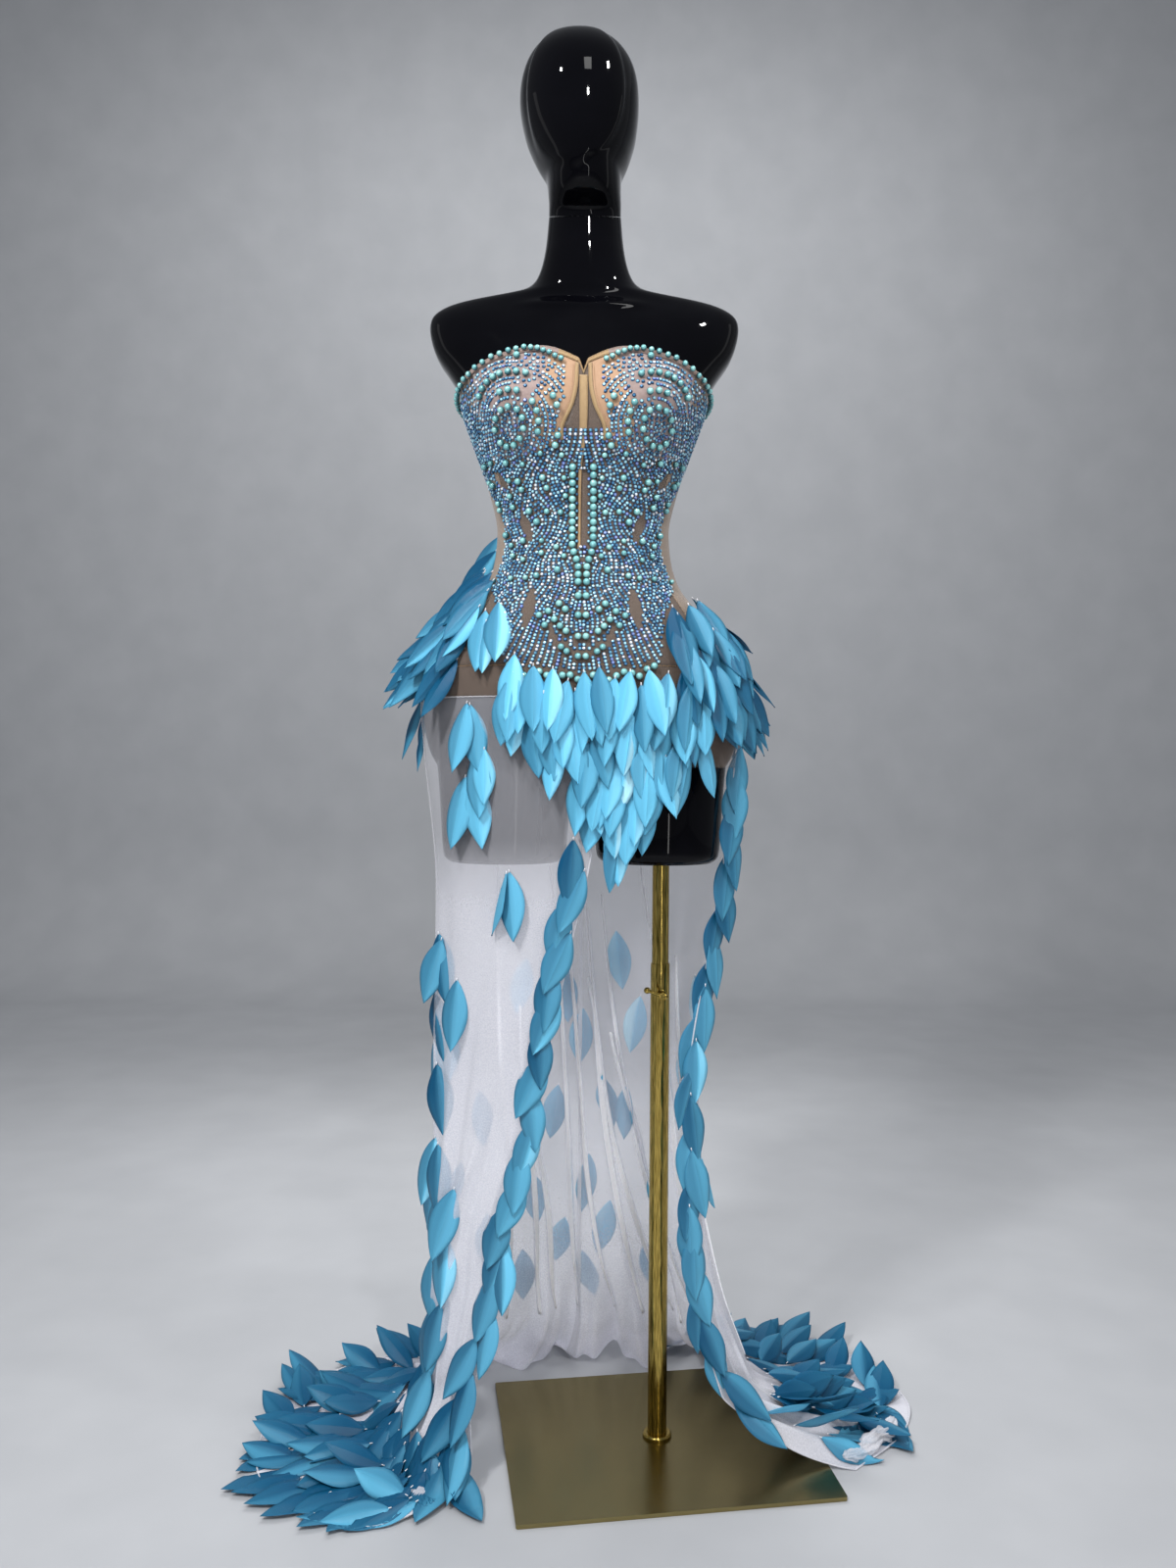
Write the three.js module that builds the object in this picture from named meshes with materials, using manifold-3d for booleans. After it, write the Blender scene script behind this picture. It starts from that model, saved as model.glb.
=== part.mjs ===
// A strapless mermaid gown of stretch mesh with leaf trims, on a gloss dress form and a brass pole stand.
// Millimetres, +Z up. The origin is on the floor, under the pole, at the centre of the base plate.
// Left and right are the wearer's. The wearer faces -Y, so the wearer's right is at -X.
// Angles round the body are in degrees from centre front: positive to the wearer's left, 180 at centre back.

import * as THREE from 'three';
import { mergeVertices } from 'three/addons/utils/BufferGeometryUtils.js';
import Module from 'manifold-3d';

const wasm = await Module();
wasm.setup();

// ---------- driving dimensions ----------

const CLOTH = 1.5; // wall of every cloth panel
const SEAM = 0.3; // gap between pieces that are sewn or fitted together
const EASE = 3.6; // from the form's surface to the middle of the cloth
const SIDE_LIFT = 3.2; // underside of a trim above the middle of the cloth round the hips
const THIGH_LIFT = 2.4; // the same on the front of the hips and thighs
const FRONT_LIFT = 1.5; // the same on the flattest cloth
const RUN_LIFT = 1.1; // the same where the trim repeats the cloth's own grid

const BASE = { width: 400, depth: 330, thick: 5, corner: 3, yaw: 8.5 };
const FLANGE = { radius: 19, height: 5 };
const LOWER = { radius: 12.5, top: 625, bore: 11.3, boreFloor: 420 };
const UPPER = { radius: 11, bottom: 422, top: 856 };
const SOCKET = { radius: 11.3, top: 858 };
// The bar slides through the screw's head, and is pushed out to one side until its other ball stops it.
const SCREW = { z: 587, yaw: 3, tilt: -20, shank: 2.5, length: 15, bar: 2.3, far: -21, near: 4, ball: 4.4 };
const BOSS = { radius: 6, out: 4 };

const BODY_X = -104; // the form's centre plane, measured from the pole
const NECK_SEAM = 1590; // at the neck's middle; the seam slopes down to the front
const NECK_SLOPE = { slope: 0.41, below: 50, above: 36 };
const STUB_X = 99; // centre of each thigh stub from the form's centre plane

const BODICE_HEM = 1003;
const YOKE_HEM = 965;
const CUP_SEAM_ROW = 0.6; // the share of the bodice's rows that lies below the cup seam
const SIDE_SEAM = 62; // nominal angle of the bodice's side seam
const CUP_EDGE = 15; // nominal angle of the cup's inner edge
const SLIT_TOP = 880;
const FLOOR_TURN = 90; // height at which the skirt starts to turn out over the floor

const ROUNDNESS = 2.2; // of every other section: 2 is an ellipse, and more is fuller at the corners
const BUST = { angle: 34, spread: 25, z: 1322, reach: 48, out: 30, underCup: 24 };
const FOLD = { count: 8, depth: 8, from: 700, over: 450, twist: 0.35 };
const RIDGE = { count: 9, height: 15, drift: 4 };

// ---------- tables: sections from the bottom up ----------

const columns = (names, rows) => {
  const keys = names.split(' ');
  return rows.map((row) => Object.fromEntries(row.map((value, i) => [keys[i], value])));
};

const TORSO = columns('z width front back power', [
  [850, 150, 76, 80, 2.2],
  [880, 186, 98, 108, 2.2],
  [915, 201, 112, 124, 2.2],
  [960, 205, 117, 126, 2.2],
  [1010, 194, 114, 116, 2.2],
  [1060, 163, 105, 98, 2.2],
  [1113, 120, 93, 84, 2.1],
  [1180, 107, 84, 78, 2.1],
  [1230, 117, 90, 82, 2.2],
  [1279, 132, 98, 88, 2.3],
  [1325, 149, 100, 98, 2.4],
  [1355, 157, 98, 102, 2.5],
  [1383, 174, 92, 102, 2.6],
  [1405, 189, 84, 97, 2.7],
  [1428, 197, 75, 89, 2.7],
  [1446, 198.5, 65, 79, 2.7],
  [1459, 193, 57, 69, 2.6],
  [1471, 171, 51, 62, 2.4],
  [1479, 131, 49, 58, 2.2],
  [1485, 97, 50, 55, 2],
  [1493, 76, 50, 52, 2],
  [1504, 64, 50, 50, 2],
  [1524, 55.5, 49, 46, 2],
  [1552, 50, 47, 44, 2],
  [NECK_SEAM - SEAM / 2, 46.5, 45, 44, 2],
]);

// side is how far the section's middle lies to the wearer's left: the head sits a little to the right.
const HEAD = columns('z width front back side', [
  [NECK_SEAM + SEAM / 2, 46.5, 45, 44, 0],
  [1598, 46.5, 49, 45, 0],
  [1606, 46.6, 66, 45.5, 0],
  [1613, 46.8, 79, 46, -0.5],
  [1624, 47.3, 87, 48, -1],
  [1637, 49, 91, 54, -2],
  [1661, 60.5, 95.5, 70, -4],
  [1690, 71, 98, 86, -6],
  [1728, 76.5, 96, 98, -8],
  [1763, 73, 87, 97, -8],
  [1790, 60, 68, 82, -8],
  [1807, 40, 44, 56, -8],
  [1815, 16, 18, 24, -8],
]);

const STUB = columns('z width front back', [
  [758, 70, 74, 74],
  [762, 77, 81, 81],
  [773, 80, 84, 84],
  [850, 85, 88, 90],
  [905, 90, 94, 98],
]);

// Half widths and depths of the skirt. Above YOKE_HEM the cloth follows the form.
const SKIRT = columns('z right left front back', [
  [90, 192, 217, 118, 172],
  [172, 189, 187, 104, 155],
  [285, 190, 165, 98, 140],
  [364, 190, 156, 100, 132],
  [500, 188, 149, 102, 126],
  [650, 188, 168, 106, 124],
  [756, 189, 186, 112, 126],
  [850, 199, 199, 119, 130],
  [905, 205, 205, 119, 128],
  [965, 209, 209, 120, 129],
]);

// Angles of the slit's two edges.
const SLIT = columns('z right left', [
  [90, -56, 70],
  [157, -54, 69],
  [232, -47, 65],
  [307, -44, 65],
  [405, -31, 70],
  [525, -21, 75],
  [644, -8, 82],
  [764, 6, 81],
  [871, 12, 78],
  [965, 15, 80],
]);

// The hem on the floor, from the slit's right edge (0) round the back to its left edge (1), and the share
// of the way from FLOOR_TURN to the hem at which the cloth comes down on the floor.
const HEM = columns('u x y down', [
  [0, -115, -184, 0.62],
  [0.08, -245, -192, 0.5],
  [0.17, -375, -120, 0.5],
  [0.25, -414, -10, 0.5],
  [0.33, -395, 120, 0.5],
  [0.42, -250, 235, 0.5],
  [0.5, -40, 275, 0.5],
  [0.58, 150, 300, 0.55],
  [0.67, 350, 290, 0.8],
  [0.75, 450, 140, 0.66],
  [0.88, 435, 20, 0.82],
  [1, 350, -70, 1],
]);

// Heights of the bodice's top edge and of the seam under the cups.
const NECKLINE = columns('angle z seam', [
  [0, 1358, 1280],
  [12, 1372, 1278],
  [33, 1391, 1262],
  [50, 1385, 1260],
  [65, 1368, 1264],
  [85, 1353, 1266],
  [180, 1335, 1266],
]);

// Angle of the cup's inner edge, and of the centre front panel's edge below it.
const CUP_INNER = columns('z angle', [
  [965, 6],
  [1140, 7],
  [1230, 9],
  [1285, 12.5],
  [1315, 6.2],
  [1337, 3.6],
  [1360, 3.2],
  [1400, 3.2],
]);

// The boning tape down centre front: its middle and half its width, in degrees. Lower down it is narrower
// and runs along the wearer's right of the keyhole.
const BONE = columns('z middle half', [
  [1140, -2.7, 1],
  [1240, -2.2, 1.2],
  [1288, 0, 2.4],
  [1360, 0, 2.6],
]);

const APRON = columns('angle low', [
  [-44, 905],
  [-18, 848],
  [4, 800],
  [18, 737],
  [36, 780],
  [54, 830],
]);

// ---------- curves and surfaces ----------

// A smooth curve through one column of a table, at a value of its key column.
function smooth(table, key, field, at) {
  const last = table.length - 1;
  const held = Math.min(Math.max(at, table[0][key]), table[last][key]);
  let i = 0;
  while (i < last - 1 && held > table[i + 1][key]) i += 1;
  const slope = (n) => {
    const a = table[Math.max(n - 1, 0)];
    const b = table[Math.min(n + 1, last)];
    return (b[field] - a[field]) / (b[key] - a[key]);
  };
  const span = table[i + 1][key] - table[i][key];
  const t = (held - table[i][key]) / span;
  const rise = t * t * (3 - 2 * t);
  const lead = t * (1 - t) * (1 - t) * span * slope(i);
  const lag = t * t * (t - 1) * span * slope(i + 1);
  return table[i][field] * (1 - rise) + table[i + 1][field] * rise + lead + lag;
}

const radians = THREE.MathUtils.degToRad;
const mix = THREE.MathUtils.lerp;
const polar = (angle, radius, z) =>
  new THREE.Vector3(radius * Math.sin(radians(angle)), -radius * Math.cos(radians(angle)), z);

// Distance from the axis to a rounded section that has its own size on each of four sides.
function sectionRadius(angle, { right, left, front, back, power }) {
  const sin = Math.sin(radians(angle));
  const cos = Math.cos(radians(angle));
  const side = Math.abs(sin) / (sin < 0 ? right : left);
  const ahead = Math.abs(cos) / (cos > 0 ? front : back);
  return (side ** power + ahead ** power) ** (-1 / power);
}

function section(table, z) {
  const at = (field) => smooth(table, 'z', field, z);
  const power = 'power' in table[0] ? at('power') : ROUNDNESS;
  return { right: at('width'), left: at('width'), front: at('front'), back: at('back'), power };
}

// How far one moulded bust stands out, as a share of its height.
function bustAt(angle, z) {
  const down = (z - BUST.z) / BUST.reach;
  const side = (centre) => Math.exp(-(((angle - centre) / BUST.spread) ** 2) - down * down);
  return side(BUST.angle) + side(-BUST.angle);
}

const turned = (angle) => ((((angle + 180) % 360) + 360) % 360) - 180;

// The shape that the cloth is cut to: the form, with the cups a little fuller than its bust.
function clothedRadius(angle, z) {
  return sectionRadius(angle, section(TORSO, z)) + BUST.out * bustAt(turned(angle), z);
}

function skirtRadius(angle, z) {
  const at = (field) => smooth(SKIRT, 'z', field, z);
  const sides = { right: at('right'), left: at('left'), front: at('front'), back: at('back'), power: ROUNDNESS };
  const fall = THREE.MathUtils.smoothstep(FOLD.from - z, 0, FOLD.over);
  const behind = 0.6 - 0.4 * Math.cos(radians(angle));
  const wave = Math.sin(FOLD.count * radians(angle) + FOLD.twist * radians(FOLD.from - z) * 2);
  return sectionRadius(angle, sides) + FOLD.depth * fall * behind * wave;
}

// The middle of the worn cloth: on the form above the yoke's hem, hanging below it.
function worn(angle, z) {
  const hang = THREE.MathUtils.clamp((YOKE_HEM - z) / 60, 0, 1);
  const onForm = hang < 1 ? clothedRadius(angle, z) + EASE : 0;
  const hanging = hang > 0 ? skirtRadius(angle, z) : 0;
  return polar(angle, mix(onForm, hanging, hang), z);
}

// The bodice and yoke by nominal angle and row: 0 at the bodice hem, 1 at the neckline.
function bodiceAngle(nominal, z) {
  const size = Math.abs(nominal);
  const edge = smooth(CUP_INNER, 'z', 'angle', z);
  if (size <= CUP_EDGE) return (nominal / CUP_EDGE) * edge;
  if (size >= SIDE_SEAM) return nominal;
  return Math.sign(nominal) * mix(edge, SIDE_SEAM, (size - CUP_EDGE) / (SIDE_SEAM - CUP_EDGE));
}

function bodice(nominal, row) {
  const top = smooth(NECKLINE, 'angle', 'z', Math.abs(turned(nominal)));
  const seam = smooth(NECKLINE, 'angle', 'seam', Math.abs(turned(nominal)));
  const z = row < CUP_SEAM_ROW
    ? mix(BODICE_HEM, seam, row / CUP_SEAM_ROW)
    : mix(seam, top, (row - CUP_SEAM_ROW) / (1 - CUP_SEAM_ROW));
  return worn(bodiceAngle(nominal, z), z);
}

const yoke = (angle, z) => worn(angle, z);

// The skirt by u (0 at the slit's right edge, quarters at the side and back seams, 1 at its left edge) and
// v (the height down to FLOOR_TURN, then running on down to 0 at the hem).
function skirtAngle(u, z) {
  const right = smooth(SLIT, 'z', 'right', z);
  const left = smooth(SLIT, 'z', 'left', z) - 360;
  if (u < 0.25) return mix(right, -90, u / 0.25);
  if (u < 0.75) return mix(-90, -270, (u - 0.25) / 0.5);
  return mix(-270, left, (u - 0.75) / 0.25);
}

function skirt(u, v) {
  if (v >= FLOOR_TURN) return worn(skirtAngle(u, v), v);
  const share = 1 - v / FLOOR_TURN;
  const start = worn(skirtAngle(u, FLOOR_TURN), FLOOR_TURN);
  const down = smooth(HEM, 'u', 'down', u);
  const out = share ** 1.5;
  const fallen = Math.max(1 - share / down, 0) ** 1.3;
  const wave = 0.5 + 0.5 * Math.cos(2 * Math.PI * RIDGE.count * u + RIDGE.drift * share);
  const ridge = RIDGE.height * Math.sin(Math.PI * Math.min(share, 0.95)) * wave;
  return new THREE.Vector3(
    mix(start.x, smooth(HEM, 'u', 'x', u), out),
    mix(start.y, smooth(HEM, 'u', 'y', u), out),
    FLOOR_TURN * fallen + ridge + CLOTH / 2,
  );
}

// ---------- solids ----------

// Step along a surface's two coordinates for slopes.
const STEP = { angle: 0.5, row: 0.004, z: 1, u: 0.002, v: 0.5 };

function slopes(surface, s, t, step) {
  const ds = surface(s + step[0], t).sub(surface(s - step[0], t)).divideScalar(2 * step[0]);
  const dt = surface(s, t + step[1]).sub(surface(s, t - step[1])).divideScalar(2 * step[1]);
  return { ds, dt };
}

function geometryFrom(points, triangles) {
  const geometry = new THREE.BufferGeometry();
  geometry.setAttribute('position', new THREE.Float32BufferAttribute(points.flatMap((p) => [p.x, p.y, p.z]), 3));
  geometry.setIndex(triangles);
  return geometry;
}

// Signed volume of a closed mesh: positive where its faces point out.
function volumeOf(points, triangles) {
  let volume = 0;
  for (let i = 0; i < triangles.length; i += 3) {
    const [a, b, c] = [points[triangles[i]], points[triangles[i + 1]], points[triangles[i + 2]]];
    volume += a.dot(new THREE.Vector3().crossVectors(b, c)) / 6;
  }
  return volume;
}

function facingOut(points, triangles) {
  if (volumeOf(points, triangles) > 0) return triangles;
  return triangles.map((_, i) => triangles[i + (i % 3 === 1 ? 1 : i % 3 === 2 ? -1 : 0)]);
}

// A closed wall over part of a surface. It lies between two distances out from the surface, each a number
// or a function of the shares across and along, and stops half a seam short of the part's edges.
function wall({ surface, across, along, step, inner = -CLOTH / 2, outer = CLOTH / 2, outward = 1 }) {
  const inset = (list, i, length) => {
    if (i === 0) return SEAM / 2 / length;
    if (i === list.length - 1) return -SEAM / 2 / length;
    return 0;
  };
  const value = (rule, i, j) =>
    typeof rule === 'function' ? rule(i / (across.length - 1), j / (along.length - 1)) : rule;
  const sign = (list) => Math.sign(list[list.length - 1] - list[0]);
  const layers = [[], []];
  along.forEach((t0, j) => {
    across.forEach((s0, i) => {
      const lowFirst = typeof t0 === 'function' ? t0(s0) : t0;
      const first = slopes(surface, s0, lowFirst, step);
      const s = s0 + sign(across) * inset(across, i, first.ds.length());
      const alongSign = typeof t0 === 'function' ? 1 : sign(along);
      const t = lowFirst + alongSign * inset(along, j, first.dt.length());
      const { ds, dt } = slopes(surface, s, t, step);
      const normal = new THREE.Vector3().crossVectors(ds, dt).normalize().multiplyScalar(outward);
      const base = surface(s, t);
      layers[0].push(base.clone().addScaledVector(normal, value(inner, i, j)));
      layers[1].push(base.clone().addScaledVector(normal, value(outer, i, j)));
    });
  });
  const points = [...layers[0], ...layers[1]];
  points.forEach((p) => { p.z = Math.max(p.z, 0); });
  const n = across.length;
  const m = along.length;
  const top = n * m;
  const triangles = [];
  const quad = (a, b, c, d) => triangles.push(a, b, c, a, c, d);
  for (let j = 0; j < m - 1; j += 1) {
    for (let i = 0; i < n - 1; i += 1) {
      const a = j * n + i;
      quad(a, a + n, a + n + 1, a + 1);
      quad(top + a, top + a + 1, top + a + n + 1, top + a + n);
    }
  }
  const side = (a, b) => quad(a, b, top + b, top + a);
  for (let i = 0; i < n - 1; i += 1) {
    side(i, i + 1);
    side((m - 1) * n + i + 1, (m - 1) * n + i);
  }
  for (let j = 0; j < m - 1; j += 1) {
    side((j + 1) * n, j * n);
    side(j * n + n - 1, (j + 1) * n + n - 1);
  }
  return geometryFrom(points, facingOut(points, triangles));
}

// A closed solid through rings of equal length, with a fan over each end.
function loft(rings) {
  const n = rings[0].length;
  const points = rings.flat();
  const triangles = [];
  for (let j = 0; j < rings.length - 1; j += 1) {
    for (let i = 0; i < n; i += 1) {
      const a = j * n + i;
      const b = j * n + ((i + 1) % n);
      triangles.push(a, b, b + n, a, b + n, a + n);
    }
  }
  [0, rings.length - 1].forEach((end) => {
    const centre = rings[end].reduce((sum, p) => sum.add(p), new THREE.Vector3()).divideScalar(n);
    const hub = points.push(centre) - 1;
    for (let i = 0; i < n; i += 1) {
      const a = end * n + i;
      const b = end * n + ((i + 1) % n);
      triangles.push(...(end === 0 ? [b, a, hub] : [a, b, hub]));
    }
  });
  return geometryFrom(points, facingOut(points, triangles));
}

// How far a ring slopes up towards the back, so that the rings lie along the neck seam near it.
function neckSlope(z) {
  const { slope, below, above } = NECK_SLOPE;
  const away = z < NECK_SEAM ? (NECK_SEAM - z) / below : (z - NECK_SEAM) / above;
  return slope * Math.max(1 - away, 0);
}

// Rings of a table's sections at some heights, with the points closer together at their ends.
function sectionRings(table, heights, count, centreX = 0, swell = () => 0) {
  return heights.map((z) => {
    const side = 'side' in table[0] ? smooth(table, 'z', 'side', z) : 0;
    const { left, front, back, power } = section(table, z);
    const eased = (value) => Math.sign(value) * Math.abs(value) ** (2 / power);
    return Array.from({ length: count }, (_, i) => {
      const t = (2 * Math.PI * i) / count;
      const x = left * eased(Math.sin(t));
      const y = -eased(Math.cos(t)) * (Math.cos(t) > 0 ? front : back);
      const angle = THREE.MathUtils.radToDeg(Math.atan2(x, -y));
      const grown = 1 + swell(angle, z) / Math.hypot(x, y);
      return new THREE.Vector3(centreX + side + x * grown, y * grown, z + y * neckSlope(z));
    });
  });
}

function lathe(profile, segments = 24) {
  const geometry = new THREE.LatheGeometry(profile.map(([r, z]) => new THREE.Vector2(r, z)), segments);
  return geometry.rotateX(Math.PI / 2);
}

function toManifold(geometry) {
  const bare = geometry.clone();
  bare.deleteAttribute('normal');
  bare.deleteAttribute('uv');
  const merged = mergeVertices(bare, 1e-4);
  return new wasm.Manifold(new wasm.Mesh({
    numProp: 3,
    vertProperties: new Float32Array(merged.attributes.position.array),
    triVerts: new Uint32Array(merged.index.array),
  }));
}

function fromManifold(solid) {
  const mesh = solid.getMesh();
  const geometry = new THREE.BufferGeometry();
  geometry.setAttribute('position', new THREE.BufferAttribute(mesh.vertProperties, 3));
  geometry.setIndex(new THREE.BufferAttribute(mesh.triVerts, 1));
  return geometry;
}

const rod = (radius, low, high, segments = 24) =>
  lathe([[0, low], [radius, low], [radius, high], [0, high]], segments);

// ---------- materials ----------

const finish = (color, roughness, metalness = 0, opacity = 1) =>
  new THREE.MeshStandardMaterial({ color, roughness, metalness, opacity, transparent: opacity < 1 });

const makeBlack = () => finish('#08080a', 0.08);
const makeBrass = () => finish('#b08a3c', 0.2, 1);
const makeNudeMesh = () => finish('#b89478', 0.7, 0, 0.6);
const makeCupCloth = () => finish('#c8a08c', 0.6);
const makeWhiteMesh = () => finish('#e6e8f2', 0.75, 0, 0.6);
const makeTape = () => finish('#cda064', 0.6);
const makeLeaf = () => finish('#3f9fd0', 0.35);

const part = new THREE.Group();
const body = new THREE.Group();
body.position.x = BODY_X;
part.add(body);

function add(group, name, geometry, material) {
  const mesh = new THREE.Mesh(geometry, material);
  mesh.name = name;
  group.add(mesh);
  return mesh;
}

// ---------- the stand ----------

function basePlate() {
  const { width, depth, thick, corner } = BASE;
  const x = width / 2;
  const y = depth / 2;
  const outline = new THREE.Shape();
  outline.moveTo(-x + corner, -y);
  outline.lineTo(x - corner, -y).absarc(x - corner, -y + corner, corner, -Math.PI / 2, 0);
  outline.lineTo(x, y - corner).absarc(x - corner, y - corner, corner, 0, Math.PI / 2);
  outline.lineTo(-x + corner, y).absarc(-x + corner, y - corner, corner, Math.PI / 2, Math.PI);
  outline.lineTo(-x, -y + corner).absarc(-x + corner, -y + corner, corner, Math.PI, 1.5 * Math.PI);
  return new THREE.ExtrudeGeometry(outline, { depth: thick, bevelEnabled: false, curveSegments: 3 });
}

function lowerPole() {
  const foot = BASE.thick + SEAM;
  const { radius, top, bore, boreFloor } = LOWER;
  const tube = lathe([[0, foot], [radius, foot], [radius, top], [bore, top], [bore, boreFloor], [0, boreFloor]], 32);
  const boss = rod(BOSS.radius, radius - 1, radius + BOSS.out, 16);
  boss.rotateX(Math.PI / 2).rotateZ(radians(SCREW.yaw)).translate(0, 0, SCREW.z);
  const bore2 = rod(SCREW.shank + 0.1, radius - 2, radius + BOSS.out + 1, 16);
  bore2.rotateX(Math.PI / 2).rotateZ(radians(SCREW.yaw)).translate(0, 0, SCREW.z);
  return fromManifold(toManifold(tube).add(toManifold(boss)).subtract(toManifold(bore2)));
}

// The screw lies along +Z here: its shank from the tube's wall out to the bar across its end.
function thumbScrew() {
  const start = UPPER.radius + SEAM;
  const end = LOWER.radius + SCREW.length;
  const shank = rod(SCREW.shank, start, end, 16);
  const bar = rod(SCREW.bar, SCREW.far, SCREW.near, 12).rotateY(Math.PI / 2);
  bar.rotateZ(radians(SCREW.tilt)).translate(0, 0, end);
  const hub = rod(SCREW.shank + 1.8, end - 4, end + 3, 16);
  let solid = toManifold(shank).add(toManifold(bar)).add(toManifold(hub));
  [SCREW.far, SCREW.near].forEach((x) => {
    const ball = new THREE.SphereGeometry(SCREW.ball, 12, 8).rotateX(Math.PI / 2);
    ball.translate(x, 0, 0).rotateZ(radians(SCREW.tilt)).translate(0, 0, end);
    solid = solid.add(toManifold(ball));
  });
  return fromManifold(solid);
}

function flange() {
  const low = BASE.thick + SEAM;
  const inside = LOWER.radius + SEAM;
  const { radius, height } = FLANGE;
  return lathe([
    [inside, low],
    [radius, low],
    [radius, low + height - 2],
    [radius - 2, low + height],
    [inside, low + height],
    [inside, low],
  ], 32);
}

add(part, 'base_plate', basePlate(), makeBrass()).rotation.z = radians(BASE.yaw);
add(part, 'pole_flange', flange(), makeBrass());
add(part, 'pole_lower', lowerPole(), makeBrass());
add(part, 'pole_upper', rod(UPPER.radius, UPPER.bottom, UPPER.top, 32), makeBrass());
const screw = add(part, 'thumb_screw', thumbScrew(), makeBrass());
screw.rotation.set(Math.PI / 2, 0, radians(SCREW.yaw), 'ZXY');
screw.position.z = SCREW.z;

// ---------- the form ----------

const TORSO_HEIGHTS = [850, 865, 885, 915, 940, 962, 984, 1003, 1025, 1050, 1072, 1092, 1110, 1130, 1165, 1205,
  1245, 1280, 1300, 1322, 1345, 1370, 1395, 1415, 1431, 1446, 1456, 1465, 1472, 1479, 1485, 1493, 1505, 1528,
  1555, 1573, NECK_SEAM - SEAM / 2];
const HEAD_HEIGHTS = [
  NECK_SEAM + SEAM / 2, 1598, 1606, 1614, 1625, 1640, 1662, 1692, 1728, 1763, 1788, 1803, 1811, 1815,
];
const STUB_HEIGHTS = [758, 762, 773, 812, 850, 905];

function torso() {
  const rings = sectionRings(TORSO, TORSO_HEIGHTS, 36, 0, (angle, z) => BUST.underCup * bustAt(angle, z));
  const trunk = toManifold(loft(rings));
  const stubs = [-1, 1].map((side) => toManifold(loft(sectionRings(STUB, STUB_HEIGHTS, 24, side * STUB_X))));
  const socket = rod(SOCKET.radius, 740, SOCKET.top, 32).translate(-BODY_X, 0, 0);
  return fromManifold(trunk.add(stubs[0]).add(stubs[1]).subtract(toManifold(socket)));
}

add(body, 'form_torso', torso(), makeBlack());
add(body, 'form_head', loft(sectionRings(HEAD, HEAD_HEIGHTS, 28)), makeBlack());

// ---------- the bodice ----------

const CENTRE_ACROSS = [-15, -9, -2.5, 2.5, 9, 15];
const CUP_ACROSS = [15, 18.5, 23, 31, 39, 47, 54.5, 62];
const BACK_ACROSS = [62, 69, 76, 83, 90, 97, 104, 112, 122, 134, 148, 164, 180];
const LOW_ROWS = [0, 0.07, 0.14, 0.22, 0.3, 0.4, 0.5, 0.6];
const CUP_ROWS = [0.6, 0.69, 0.78, 0.87, 0.97, 1];
const ALL_ROWS = [...LOW_ROWS, ...CUP_ROWS.slice(1)];
const BODICE_STEP = [STEP.angle, STEP.row];

const SIDES = [
  { name: 'right', sign: -1 },
  { name: 'left', sign: 1 },
];
const mirrored = (list, sign) => (sign > 0 ? list : list.map((value) => -value).reverse());
const bodiceWall = (across, along, more = {}) =>
  wall({ surface: bodice, across, along, step: BODICE_STEP, ...more });

add(body, 'centre_front', bodiceWall(CENTRE_ACROSS, ALL_ROWS), makeNudeMesh());
SIDES.forEach(({ name, sign }) => {
  add(body, `cup_${name}`, bodiceWall(mirrored(CUP_ACROSS, sign), CUP_ROWS), makeCupCloth());
  add(body, `midriff_${name}`, bodiceWall(mirrored(CUP_ACROSS, sign), LOW_ROWS), makeNudeMesh());
  add(body, `bodice_back_${name}`, bodiceWall(mirrored(BACK_ACROSS, sign), ALL_ROWS), makeNudeMesh());
});

const TAPE = { inner: RUN_LIFT, outer: RUN_LIFT + 1.2 };
const BONE_ROWS = ALL_ROWS.filter((row) => row >= 0.3 && row <= 0.97);
const EDGE_ROWS = CUP_ROWS.filter((row) => row <= 0.97);
// The bone's own surface: from -1 to 1 across the tape, by the bodice's rows at centre front.
function boneSurface(across, row) {
  const { z } = bodice(0, row);
  return worn(smooth(BONE, 'z', 'middle', z) + across * smooth(BONE, 'z', 'half', z), z);
}
add(body, 'centre_bone', wall({
  surface: boneSurface,
  across: [-1, 0, 1],
  along: BONE_ROWS,
  step: [0.1, STEP.row],
  inner: TAPE.inner + 0.2,
  outer: TAPE.outer + 0.2,
}), makeTape());
SIDES.forEach(({ name, sign }) => {
  add(body, `cup_edge_${name}`, bodiceWall(mirrored([15, 18.5], sign), EDGE_ROWS, TAPE), makeTape());
});
const ROUND = [...mirrored(BACK_ACROSS, -1), ...mirrored(CUP_ACROSS, -1).slice(1), ...CENTRE_ACROSS.slice(1),
  ...CUP_ACROSS.slice(1), ...BACK_ACROSS.slice(1)];
add(body, 'neckline_binding', bodiceWall(ROUND, [0.97, 1], TAPE), makeTape());

// ---------- the yoke and the skirt ----------

const YOKE_STEP = [STEP.angle, STEP.z];
const YOKE_ROWS = [YOKE_HEM, 984, BODICE_HEM];
const YOKE_FRONT = [-62, -48, -36, -24, -12, 0, 12, 24, 36, 48, 62];
const yokeWall = (across) => wall({ surface: yoke, across, along: YOKE_ROWS, step: YOKE_STEP });
add(body, 'yoke_front', yokeWall(YOKE_FRONT), makeNudeMesh());
SIDES.forEach(({ name, sign }) => {
  add(body, `yoke_back_${name}`, yokeWall(mirrored(BACK_ACROSS, sign)), makeNudeMesh());
});

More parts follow.
